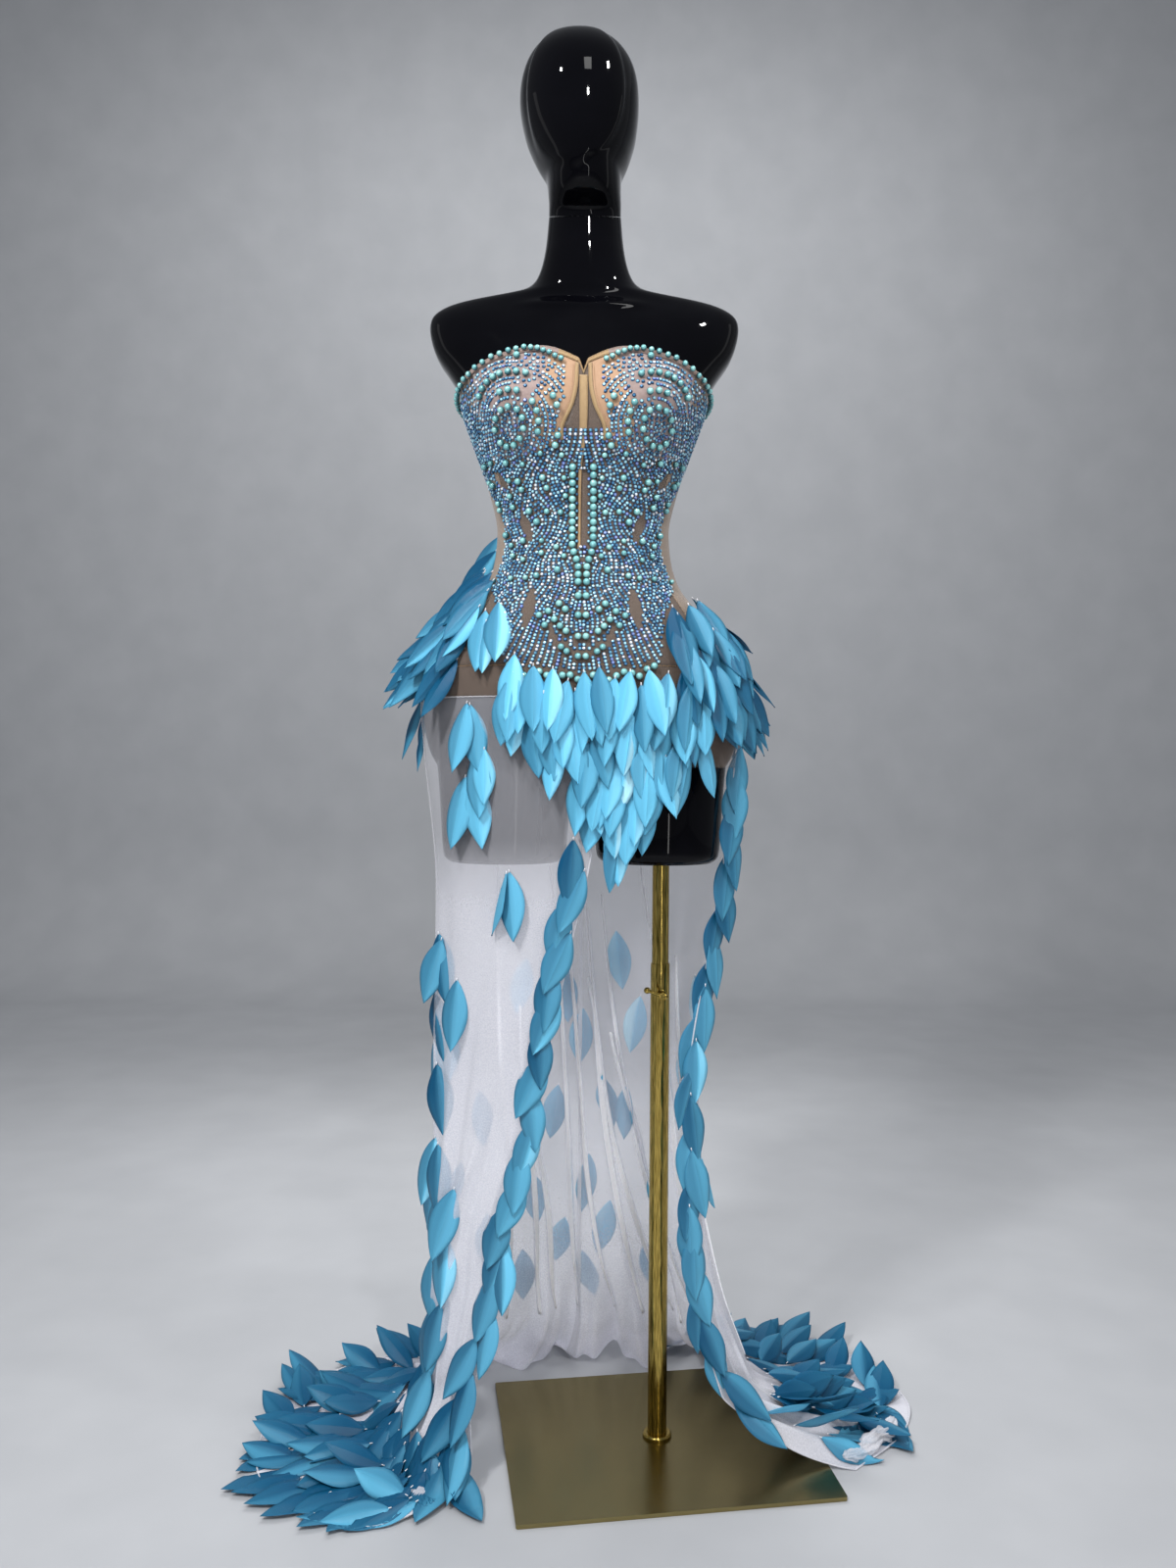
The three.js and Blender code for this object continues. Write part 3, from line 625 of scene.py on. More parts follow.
def sheer(name, light, dark, coarse, densities):
    """A stretch mesh that lets some light straight through. densities lists heights in millimetres, from
    the lowest, with how solid one face of it looks there: it is more open where it is stretched."""
    m = Finish(name, roughness=0.75)
    knit = m.noise(coarse, 2)
    weave = m.maths("MULTIPLY", m.wave(coarse * 0.5, "X", 1.5), m.wave(coarse * 0.5, "Z", 1.5))
    m.colour(m.between(knit, dark, light, 0.3, 0.7))
    m.set(sheen_weight=0.25, sheen_roughness=0.5)
    m.bump(weave, 0.08)
    height = m.node("SeparateXYZ", "Z", {"Vector": m.place})
    solid = densities[0][1]
    for (low, before), (high, after) in zip(densities, densities[1:]):
        solid = m.maths("ADD", solid, m.between(height, 0.0, after - before, low * MM, high * MM))
    solid = m.maths("MULTIPLY", solid, m.between(knit, 0.92, 1.08, 0.3, 0.7))
    clear = m.node("BsdfTransparent", "BSDF", {})
    mesh = m.node("MixShader", "Shader", {"Fac": solid, 1: clear, 2: m.shader.outputs["BSDF"]})
    m.links.new(mesh, m.nodes["Material Output"].inputs["Surface"])
    return m.material


def cup_satin():
    m = Finish("cup_cloth", roughness=0.5)
    m.colour(m.between(m.noise(60, 3), (0.26, 0.19, 0.172), (0.35, 0.26, 0.24), 0.35, 0.7))
    m.set(sheen_weight=0.3)
    m.bump(m.wave(450, "DIAGONAL", 0.6), 0.08)
    return m.material


def tape(name, low, high):
    m = Finish(name, roughness=0.62)
    ribs = m.wave(330, "Z", 0.4)
    m.colour(m.between(m.maths("ADD", ribs, m.noise(180, 2)), low, high, 0.3, 1.4))
    m.set(sheen_weight=0.2)
    m.bump(ribs, 0.1)
    return m.material


def leaf_satin():
    """Satin leaves. tint holds each leaf's shade, how far along it a point is, and how far out. The shade is
    partly the leaf's own random tone and partly painted light: one half painted lighter than the other, a
    painted sheen on some halves, and paler or darker leaves by group.
    """
    m = Finish("leaf_satin", roughness=0.46)
    own = m.tint_with_painted_light()
    shade, along, out = (m.node("SeparateColor", name, {"Color": own}) for name in ("Red", "Green", "Blue"))
    base = m.between(shade, (0.002, 0.07, 0.155), (0.16, 0.58, 0.84))
    # Shades above 0.95 go to pale cyan: a painted sheen.
    painted_sheen = m.blend(base, (0.5, 0.84, 0.95), m.between(shade, 0.0, 0.8, 0.95, 1.4))
    tip = m.blend(painted_sheen, (0.1, 0.45, 0.65), m.between(along, 0.0, 0.13, 0.35, 1.0))
    m.colour(m.blend(tip, (0.008, 0.13, 0.28), m.between(out, 0.0, 0.3, 0.86, 1.0)))
    threads = m.noise(26, 2, m.stretched((22, 22, 4)))
    m.roughness(m.between(threads, 0.36, 0.5, 0.3, 0.7))
    m.set(specular_ior_level=0.4)
    m.bump(threads, 0.1)
    return m.material


def pearl():
    m = Finish("pearl", roughness=0.22)
    swirl = m.noise(240, 2)
    m.colour(m.blend(m.tint_with_painted_light(), (0.35, 0.7, 0.7), m.between(swirl, 0.0, 0.2, 0.4, 0.75)))
    m.set(metallic=0.25, coat_weight=0.8, coat_roughness=0.16)
    return m.material


def crystal():
    m = Finish("crystal", roughness=0.07)
    m.colour(m.tint_with_painted_light())
    m.set(metallic=0.15, coat_weight=0.3, coat_roughness=0.2)
    m.roughness(m.between(m.noise(300, 2), 0.2, 0.36, 0.3, 0.7))
    return m.material


def plain(name, low, high, roughness, scale):
    m = Finish(name, roughness=roughness)
    grain = m.noise(scale, 3)
    m.colour(m.between(grain, low, high, 0.35, 0.7))
    m.bump(grain, 0.05)
    return m.material


LOOK = {
    "brushed_brass": brushed_brass(),
    "polished_brass": polished_brass(),
    "gloss_black": gloss_black(),
    "nude_mesh": sheer("nude_mesh", (0.5, 0.39, 0.32), (0.36, 0.27, 0.22), 700, [[900, 0.12], [1100, 0.19]]),
    "side_mesh": sheer("side_mesh", (0.56, 0.45, 0.36), (0.44, 0.34, 0.27), 700,
                       [[1040, 0.2], [1120, 0.5], [1200, 0.5], [1260, 0.3]]),
    "white_mesh": sheer("white_mesh", (0.89, 0.89, 0.95), (0.82, 0.82, 0.9), 600,
                        [[60, 0.5], [260, 0.33], [700, 0.3], [790, 0.12]]),
    # The back panels' mesh is the white one painted darker and cooler: painted shade. It is also more open.
    "back_mesh_painted_shade": sheer("back_mesh_painted_shade", (0.88, 0.88, 0.95), (0.74, 0.74, 0.84), 600,
                       [[60, 0.5], [220, 0.26], [700, 0.19], [790, 0.12]]),
    "hem_mesh": sheer("hem_mesh", (0.9, 0.9, 0.95), (0.8, 0.8, 0.86), 600, [[700, 0.5], [960, 0.25]]),
    # The tucks' mesh is whiter than the white one: partly the doubled mesh, partly a painted highlight along
    # each crest.
    "tuck_mesh_painted_highlight": sheer("tuck_mesh_painted_highlight", (0.98, 0.98, 1.0), (0.9, 0.9, 0.95), 600, [[500, 1.0], [800, 0.6]]),
    "cup_cloth": cup_satin(),
    "tan_tape": tape("tan_tape", (0.28, 0.18, 0.085), (0.4, 0.27, 0.14)),
    "flap_satin": tape("flap_satin", (0.36, 0.215, 0.125), (0.47, 0.29, 0.18)),
    "leaf_satin": leaf_satin(),
    "pearl": pearl(),
    "crystal": crystal(),
    "thread": plain("thread", (0.7, 0.7, 0.74), (0.9, 0.9, 0.94), 0.7, 900),
    "tan_thread": plain("tan_thread", (0.3, 0.18, 0.08), (0.45, 0.28, 0.13), 0.7, 900),
}

# ---------- camera, light and stage ----------

CAMERA = {"place": (-0.0956, -1.588, 0.88), "pitch": -0.8, "roll": 0.355, "lens": 28.03}

# Where each lamp is, what it points at, its size in metres, its watts, and whether gloss mirrors it.
LAMPS = {
    "key": ((-1.3, -1.95, 2.7), (-0.1, 0, 1.1), (0.36, 0.36), 56, False),
    "fill": ((1.8, -1.7, 1.5), (-0.1, 0, 0.9), (1.0, 1.8), 14, False),
    "low": ((-0.6, -2.4, 0.6), (-0.1, 0, 0.3), (1.6, 0.6), 9, False),
    "back": ((-0.2, 1.35, 1.5), (-0.1, 0, 0.6), (1.4, 0.8), 20, False),
    "side_right": ((-1.8, 0.2, 1.5), (-0.1, 0, 1.2), (0.2, 1.6), 0.5, True),
    "side_left": ((1.7, 0.2, 1.7), (-0.1, 0, 1.2), (0.2, 1.6), 0.5, True),
    "strip": ((0.5, -2.3, 0.9), (0, 0, 0.5), (0.07, 1.5), 3, True),
    "wall": ((-0.1, 1.8, 3.6), (-0.1, 3.5, 1.3), (3.0, 0.3), 34, False),
    "ceiling": ((0.2, -1.2, 3.0), (-0.1, 0, 1.4), (0.3, 0.25), 2, True),
    "spot_a": ((-0.9, -1.2, 2.9), (-0.1, 0, 1.2), (0.1, 0.1), 14, True),
    "spot_b": ((0.3, -1.8, 2.7), (-0.1, 0, 1.2), (0.1, 0.1), 14, True),
    "spot_c": ((0.9, -0.6, 2.8), (-0.1, 0, 1.2), (0.1, 0.1), 8, True),
    "bead_spot": ((-0.9, -2.1, 2.5), (-0.1, 0, 1.25), (0.5, 0.5), 22, True),
}
WORLD = {"colour": (0.8, 0.84, 0.9, 1), "strength": 0.24}


def make_camera():
    data = bpy.data.cameras.new("camera")
    data.sensor_width = 36
    data.lens = CAMERA["lens"]
    data.clip_start = 0.05
    camera = in_scene("camera", data)
    tilt = Matrix.Rotation(math.radians(90 + CAMERA["pitch"]), 4, "X")
    roll = Matrix.Rotation(math.radians(CAMERA["roll"]), 4, "Z")
    camera.matrix_world = Matrix.Translation(CAMERA["place"]) @ tilt @ roll
    bpy.context.scene.camera = camera


def make_lamps():
    for name, (place, aim, size, watts, mirrored) in LAMPS.items():
        data = bpy.data.lights.new(name, "AREA")
        data.shape = "RECTANGLE"
        data.size, data.size_y = size
        data.energy = watts
        lamp = in_scene(name, data)
        lamp.location = place
        lamp.visible_glossy = mirrored
        lamp.rotation_euler = (Vector(aim) - Vector(place)).to_track_quat("-Z", "Y").to_euler()
    world = bpy.data.worlds.new("studio")
    bpy.context.scene.world = world
    world.use_nodes = True
    background = world.node_tree.nodes["Background"]
    background.inputs["Color"].default_value = WORLD["colour"]
    background.inputs["Strength"].default_value = WORLD["strength"]
    bpy.context.scene.view_settings.view_transform = "Standard"


STAGE = {"front": -5000, "bend_at": 2900, "bend": 600, "high": 5000, "wide": 5000}


def make_stage():
    """A pale floor that curves up into a pale backdrop, with room to walk round the object."""
    profile = [(STAGE["front"], 0), (STAGE["bend_at"], 0)]
    bend = np.radians(np.linspace(0, 90, 13))[1:]
    reach = STAGE["bend"]
    profile += [(STAGE["bend_at"] + reach * math.sin(a), reach - reach * math.cos(a)) for a in bend]
    profile += [(STAGE["bend_at"] + reach, STAGE["high"])]
    points = [(x, y, z - 0.2) for y, z in profile for x in (-STAGE["wide"], STAGE["wide"])]
    material = plain("pale_floor", (0.42, 0.43, 0.45), (0.45, 0.46, 0.48), 0.6, 6)
    new_object("floor", points, grid_faces(len(profile), 2), material)


make_camera()
make_lamps()
make_stage()

# ---------- the stand ----------


def from_node(node, look, bevel, body):
    """A CAD piece's own shape with edges softened by bevel millimetres and a finish."""
    shape = bmesh.new()
    shape.from_mesh(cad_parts[node].data)
    bmesh.ops.remove_doubles(shape, verts=shape.verts, dist=1e-5)
    mesh = bpy.data.meshes.new(node + "_metal")
    shape.to_mesh(mesh)
    shape.free()
    if "custom_normal" in mesh.attributes:
        mesh.attributes.remove(mesh.attributes["custom_normal"])
    mesh.shade_smooth()
    mesh.materials.clear()
    mesh.materials.append(LOOK[look])
    obj = in_scene(node + "_metal", mesh)
    edges = obj.modifiers.new("edges", "BEVEL")
    edges.width = bevel * MM
    edges.segments = 2
    edges.limit_method = "ANGLE"
    edges.angle_limit = math.radians(30)
    edges.harden_normals = True
    dress(obj, node, slot=look, body=body)


from_node("base_plate", "brushed_brass", 0.5, "stand")
for stand_node in ("pole_flange", "pole_lower", "pole_upper"):
    from_node(stand_node, "polished_brass", 0.3, "stand")
from_node("thumb_screw", "polished_brass", 0.2, "screw")

# ---------- the form ----------


def softened(table, z, names, reach):
    """Columns of a table, averaged over about reach millimetres of height so that gloss runs smoothly."""
    offsets = np.linspace(-1, 1, 9) * reach
    weight = np.exp(-2 * (offsets / reach) ** 2)
    weight /= weight.sum()
    return {name: sum(w * smooth(table, "z", name, z + d) for w, d in zip(weight, offsets)) for name in names}


def neck_slope(z):
    """How much a section slopes down to the front, most at the neck's seam."""
    fades_over = np.where(z < NECK_SEAM, NECK_SLOPE["below"], NECK_SLOPE["above"])
    return NECK_SLOPE["slope"] * np.maximum(1 - np.abs(z - NECK_SEAM) / fades_over, 0)


def rings(table, z, count, reach):
    """Rows of points round a table's sections, how far each is off to one side, and each point's angle."""
    names = [name for name in table if name != "z"]
    at = softened(table, z, names, reach)
    power = at.get("power", np.full(len(z), ROUNDNESS))[:, None]
    turn = np.linspace(0, 2 * np.pi, count, endpoint=False)[None, :]
    sin, cos = np.sin(turn), np.cos(turn)
    eased_sin = np.sign(sin) * np.abs(sin) ** (2 / power)
    eased_cos = np.sign(cos) * np.abs(cos) ** (2 / power)
    x = at["width"][:, None] * eased_sin
    y = -np.where(cos > 0, at["front"][:, None], at["back"][:, None]) * eased_cos
    side = at.get("side", np.zeros(len(z)))[:, None]
    return x, y, side, np.degrees(np.arctan2(x, -y))


def closed_loft(x, y, z):
    """Points and faces of a body through rings, with a face over each end."""
    rows, cols = x.shape
    points = np.stack([BODY_X + x, y, z], -1).reshape(-1, 3)
    return points, capped_faces(rows, cols)


def gloss_shell(node, points, faces):
    obj = new_object(node + "_shell", points, faces, LOOK["gloss_black"])
    obj.data.set_sharp_from_angle(angle=math.radians(50))
    dress(obj, node, slot="gloss_black")


# Collarbones and the hollow over them: height, how far each stands out, and how far it reaches.
COLLARBONE = {"z": 1459, "out": 4, "high": 7, "from": 8, "to": 62}
HOLLOW = {"z": 1432, "out": -3, "high": 15, "angle": 24, "wide": 15}


def chest_shape(angle, z):
    size = np.abs(angle)
    bone = np.exp(-(((z - COLLARBONE["z"]) / COLLARBONE["high"]) ** 2))
    bone = bone * ease(COLLARBONE["from"] - 6, COLLARBONE["from"] + 6, size)
    bone = bone * (1 - ease(COLLARBONE["to"] - 20, COLLARBONE["to"], size))
    up, out = (z - HOLLOW["z"]) / HOLLOW["high"], (size - HOLLOW["angle"]) / HOLLOW["wide"]
    hollow = np.exp(-(up ** 2) - out ** 2)
    return COLLARBONE["out"] * bone + HOLLOW["out"] * hollow


FORM_SIDES = 144  # points round a ring of the torso or the head
STUB_SIDES = 96


def make_torso():
    z = np.concatenate([finer([850, 1440], 6), finer([1441.5, 1500], 1.5), finer([1503, NECK_SEAM - 0.3], 3)])
    x, y, _, angle = rings(TORSO, z, FORM_SIDES, 6)
    swell = BUST["under_cup"] * bust_at(angle, z[:, None]) + chest_shape(angle, z[:, None])
    grown = 1 + swell / np.hypot(x, y)
    parts = [closed_loft(x * grown, y * grown, z[:, None] + y * neck_slope(z)[:, None])]
    stub_z = np.concatenate([[758, 758.6], finer([760, 905], 4)])
    x, y, _, _ = rings(STUB, stub_z, STUB_SIDES, 2)
    for side in (-1, 1):
        parts.append(closed_loft(x + side * STUB_X, y, np.repeat(stub_z[:, None], STUB_SIDES, 1)))
    gloss_shell("form_torso", *joined(parts))


# The oval face plate: its middle and half sizes, how far it stands out, and where its rim begins.
FACE = {"x": -12, "z": 1716, "half_width": 62, "half_height": 98, "out": 3.5, "rim": 0.84}


def make_head():
    chin, crown = finer([NECK_SEAM + 0.3, 1640], 1.5), finer([1796.5, 1814.8], 1.2)
    z = np.concatenate([chin, finer([1642, 1795], 3), crown])
    x, y, side, _ = rings(HEAD, z, FORM_SIDES, 4)
    across, up = (x + side - FACE["x"]) / FACE["half_width"], (z[:, None] - FACE["z"]) / FACE["half_height"]
    plate = FACE["out"] * (1 - ease(FACE["rim"], 1, across ** 2 + up ** 2)) * (y < 0)
    grown = 1 + plate / np.maximum(np.hypot(x, y), 10)
    shell = closed_loft(x * grown + side, y * grown, z[:, None] + y * neck_slope(z)[:, None])
    gloss_shell("form_head", *shell)


make_torso()
make_head()

# ---------- the cloth ----------


def puckered_bodice(nominal, row):
    """The bodice with small drawn puckers beside its side seams and along its cup seam."""
    nominal, row = np.broadcast_arrays(np.asarray(nominal, float), np.asarray(row, float))
    size = np.abs(turned(nominal))
    beside = np.exp(-(((size - SIDE_SEAM) / 5) ** 2)) * np.sin(row * 75)
    under = np.exp(-(((row - CUP_SEAM_ROW) / 0.03) ** 2)) * np.sin(nominal * 1.1)
    base = bodice(nominal, row)
    out = normals(bodice, nominal, np.clip(row, 0.004, 0.996), ON_BODICE)
    return base + out * (0.35 * beside + 0.3 * under)[..., None]


def apron_surface(share, z):
    return worn(mix(smooth(SLIT, "z", "right", z), smooth(SLIT, "z", "left", z), share), z)


BODICE_ROWS = finer([0, CUP_SEAM_ROW, 1], 0.018)
LOW_ROWS = finer([0, CUP_SEAM_ROW], 0.018)
CUP_ROWS = finer([CUP_SEAM_ROW, 1], 0.014)
SKIRT_DOWN = np.concatenate([finer([YOKE_HEM, FLOOR_TURN], 6), finer([88, 0], 2)])
PANEL_STEP = 1.8  # degrees between the bodice's points
SKIRT_SEAMS = (0.25, 0.5, 0.75)
CLOTH = {}


def lay_cloth(name, surface, across, along, look, step, outward=1, slot="nude_mesh"):
    """One cut piece of the gown, as a shell that stands for the CAD node of its name."""
    obj = panel(name + "_cloth", surface, across, along, LOOK[look], step, outward)
    CLOTH[name] = dress(obj, name, slot=slot)


middle = finer([-CUP_EDGE, CUP_EDGE], PANEL_STEP)
lay_cloth("centre_front", puckered_bodice, middle, BODICE_ROWS, "nude_mesh", ON_BODICE)
for wearer_side, sign in (("right", -1), ("left", 1)):
    before = finer(sorted((CUP_EDGE * sign, SIDE_SEAM * sign)), PANEL_STEP)
    behind = finer(sorted((SIDE_SEAM * sign, 180 * sign)), PANEL_STEP)
    lay_cloth("cup_" + wearer_side, puckered_bodice, before, CUP_ROWS, "cup_cloth", ON_BODICE, 1, "cup_cloth")
    lay_cloth("midriff_" + wearer_side, puckered_bodice, before, LOW_ROWS, "nude_mesh", ON_BODICE)
    lay_cloth("bodice_back_" + wearer_side, puckered_bodice, behind, BODICE_ROWS, "side_mesh", ON_BODICE)
for yoke_name, low, high in (
    ("yoke_front", -SIDE_SEAM, SIDE_SEAM),
    ("yoke_back_right", -180, -SIDE_SEAM),
    ("yoke_back_left", SIDE_SEAM, 180),
):
    lay_cloth(yoke_name, worn, finer([low, high], 2), finer([YOKE_HEM, BODICE_HEM], 4), "nude_mesh", ON_BODY)
apron_rows = finer([SLIT_TOP, YOKE_HEM], 4)
lay_cloth("apron_panel", apron_surface, np.linspace(0, 1, 40), apron_rows, "nude_mesh", (0.01, 1))
for skirt_name, low, look_name in (
    ("skirt_front", 0, "white_mesh"),
    ("skirt_back_right", 0.25, "back_mesh_painted_shade"),
    ("skirt_back_left", 0.5, "back_mesh_painted_shade"),
    ("skirt_side_left", 0.75, "white_mesh"),
):
    across = finer([low, low + 0.25], 0.0028)
    lay_cloth(skirt_name, draped_skirt, across, SKIRT_DOWN, look_name, ON_SKIRT, -1, "white_mesh")

FLAP_ANGLE = 31  # the cups have no beads from their inner edge out to this nominal angle


def colour_flaps():
    """The cups' inner parts, which have no beads, are in the tan satin of the tapes."""
    wide = len(finer([CUP_EDGE, SIDE_SEAM], PANEL_STEP)) - 1
    bare = int(wide * (FLAP_ANGLE - CUP_EDGE) / (SIDE_SEAM - CUP_EDGE))
    for name in ("cup_right", "cup_left"):
        mesh = CLOTH[name].data
        mesh.materials.append(LOOK["flap_satin"])
        for i, face in enumerate(mesh.polygons):
            column = i % wide if name == "cup_left" else wide - 1 - i % wide
            face.material_index = int(column < bare)


colour_flaps()

# ---------- tapes, seams and hems ----------


def sew_tape(name, surface, across, rows, step, lift=1.4):
    obj = panel(name + "_tape", surface, across, rows, LOOK["tan_tape"], step, lift=lift, thick=0.9)
    return dress(obj, name, slot="tan_tape")


def bone_surface(across, row):
    """The boning tape: from -1 to 1 across it, by the bodice's rows at centre front."""
    z = bodice(np.float64(0), row)[..., 2]
    return worn(smooth(BONE, "z", "middle", z) + across * smooth(BONE, "z", "half", z), z)


ROUND = finer([-180, 180], 1.5)
EDGE_ROWS = finer([CUP_SEAM_ROW, 0.97], 0.012)
BINDING_ROWS = np.array([0.977, 0.985, 0.992, 1.0])
BARE_BINDING = 17  # how far from centre front the binding is tan; beyond it matches the cups
ON_BONE = (0.1, 0.004)
sew_tape("centre_bone", bone_surface, np.linspace(-1, 1, 7), finer([0.3, 0.97], 0.012), ON_BONE, 1.6)
sew_tape("cup_edge_right", puckered_bodice, finer([-CUP_EDGE - 2, -CUP_EDGE], 1.5), EDGE_ROWS, ON_BODICE)
sew_tape("cup_edge_left", puckered_bodice, finer([CUP_EDGE, CUP_EDGE + 2], 1.5), EDGE_ROWS, ON_BODICE)
binding = sew_tape("neckline_binding", puckered_bodice, ROUND, BINDING_ROWS, ON_BODICE)


def colour_binding(mesh):
    mesh.materials.append(LOOK["cup_cloth"])
    for face in mesh.polygons:
        x, y, _ = face.center
        away = abs(math.degrees(math.atan2(x - BODY_X * MM, -y)))
        face.material_index = int(away > BARE_BINDING)


colour_binding(binding.data)


def line_on(surface, s, t, step, outward=1, lift=0.8):
    """Points along a surface, lifted off it, and the directions out of it there."""
    s, t = np.broadcast_arrays(np.asarray(s, float), np.asarray(t, float))
    out = normals(surface, s, t, step, outward)
    return surface(s, t) + out * lift, out


def along_path(path, pitch):
    """Places and directions spaced evenly along a line of points."""
    steps = np.linalg.norm(np.diff(path, axis=0), axis=1)
    run = np.concatenate([[0], np.cumsum(steps)])
    at = np.arange(0, run[-1], pitch)
    places = np.stack([np.interp(at, run, path[:, k]) for k in range(3)], -1)
    ahead = np.stack([np.interp(at + 1, run, path[:, k]) for k in range(3)], -1)
    behind = np.stack([np.interp(at - 1, run, path[:, k]) for k in range(3)], -1)
    return places, unit(ahead - behind)


BAR = np.array([[x, y, z] for x in (-1, 1) for y, z in ((0.8, 0), (0, 0.8), (-0.8, 0), (0, -0.8))], float)
BAR_FACES = [(0, 1, 5, 4), (1, 2, 6, 5), (2, 3, 7, 6), (3, 0, 4, 7), (3, 2, 1, 0), (4, 5, 6, 7)]


def stitches(name, lines, pitch, length, width, material, slant=0.0):
    """Short stitches along lines of points, each line with its directions out of the cloth."""
    parts = []
    for path, out in lines:
        places, ahead = along_path(path, pitch)
        nearest = np.argmin(((places[:, None] - path[None]) ** 2).sum(-1), axis=1)
        up = out[nearest]
        side = unit(np.cross(up, ahead))
        sign = np.where(np.arange(len(places)) % 2 == 0, 1, -1)[:, None]
        lie = unit(ahead + side * slant * sign)
        turns = np.stack([lie * (length / 2 / width), np.cross(up, lie), up], -1)
        parts.append(copies(BAR, BAR_FACES, places, turns, np.full(len(places), width)))
    dress(new_object(name, *joined(parts), material))


binding_lines = [line_on(bodice, ROUND, row, ON_BODICE, lift=2.1) for row in (0.981, 0.996)]
stitches("binding_stitches", binding_lines, 3.4, 2.2, 0.32, LOOK["tan_thread"], 0.5)
bone_lines = [line_on(bone_surface, side, finer([0.31, 0.96], 0.01), ON_BONE, lift=2.2)
              for side in (-0.75, 0.75)]
stitches("bone_stitches", bone_lines, 3.0, 1.9, 0.3, LOOK["tan_thread"])
edge_lines = [line_on(bodice, side * nominal, finer([0.61, 0.955], 0.01), ON_BODICE, lift=2.0)
              for side in (-1, 1) for nominal in (15.5, 18.0)]
stitches("cup_edge_stitches", edge_lines, 3.0, 1.9, 0.3, LOOK["tan_thread"])

# The bodice's seams: down the sides and the centre back, round its hem, and under the cups.
body_seams = [line_on(bodice, nominal, finer([0, 0.96], 0.01), ON_BODICE, lift=0.7)
              for nominal in (-SIDE_SEAM, SIDE_SEAM, 180)]
body_seams += [line_on(worn, finer([-180, 180], 2), BODICE_HEM, ON_BODY, lift=0.7)]
body_seams += [line_on(bodice, side * finer([CUP_EDGE + 1, SIDE_SEAM], 1.5), CUP_SEAM_ROW, ON_BODICE)
               for side in (-1, 1)]
stitches("bodice_seam_stitches", body_seams, 3.2, 2.6, 0.34, LOOK["tan_thread"], 0.7)

skirt_seams = [line_on(draped_skirt, u, finer([YOKE_HEM, 4], 5), ON_SKIRT, -1, 0.7) for u in SKIRT_SEAMS]
skirt_seams += [line_on(worn, finer([-180, 180], 2), YOKE_HEM, ON_BODY, lift=0.9)]
stitches("skirt_seam_stitches", skirt_seams, 3.4, 2.8, 0.4, LOOK["thread"], 0.6)


def seam_band(name, surface, across, along, step, outward, lift):
    """The turned-in edges at a seam, where the mesh is three layers thick."""
    dress(panel(name, surface, across, along, LOOK["hem_mesh"], step, outward, lift, thick=0.5))


for u in SKIRT_SEAMS:
    across = np.linspace(u - 0.003, u + 0.003, 5)
    seam_band(f"skirt_seam_{int(u * 100)}", draped_skirt, across, finer([YOKE_HEM, 2], 6), ON_SKIRT, -1, -0.8)
seam_band("yoke_seam_band", worn, ROUND, YOKE_HEM + np.array([-0.6, 0, 0.6]), ON_BODY, 1, 0.8)


def make_tucks():
    """The crest of each narrow crease, where the drawn mesh lies double, in a whiter mesh: partly the doubled
    mesh, partly a painted highlight along the crest.
    """
    parts = []
    rows, widest_crease = 90, 6
    share = np.linspace(0.03, 1, rows)
    width = (1.3 + 2.2 * np.sin(np.pi * share ** 1.6)) / ROUND_SKIRT
    for top_u, low_u, top, low, out, half in CREASES:
        if half > widest_crease or out < 0:
            continue
        across = crease_line(top_u, low_u, share)[:, None] + width[:, None] * np.array([-1, 0, 1])[None]
        heights = np.repeat(mix(top, low, share)[:, None], 3, 1)
        parts.append((draped_skirt(across, heights), grid_faces(rows, 3)))
    dress(solidify(new_object("skirt_tucks", *joined(parts), LOOK["tuck_mesh_painted_highlight"]), 3.0))


make_tucks()

HEM_ROUND = finer([0, 1], 0.004)
hem_path = draped_skirt(HEM_ROUND, 0.4)
hem_path[:, 2] = np.maximum(hem_path[:, 2], 1.4)
dress(tube("rolled_hem", hem_path, 1.3, LOOK["hem_mesh"]))
for label, u in (("right", 0.0008), ("left", 0.9992)):
    dress(tube("slit_hem_" + label, draped_skirt(u, finer([SLIT_TOP, 1], 5)), 1.1, LOOK["hem_mesh"]))

# ---------- the leaves ----------

LEAF = {"rows": 12, "cols": 6}
# Painted sheen: one half of some leaves is painted pale.
PAINTED_SHEEN_SHARE = 0.14  # of the leaves, how many have one half in full sheen
TRAIN_ENDS = np.array([[-545, -217], [352, 327]])  # no leaf lies further out than this


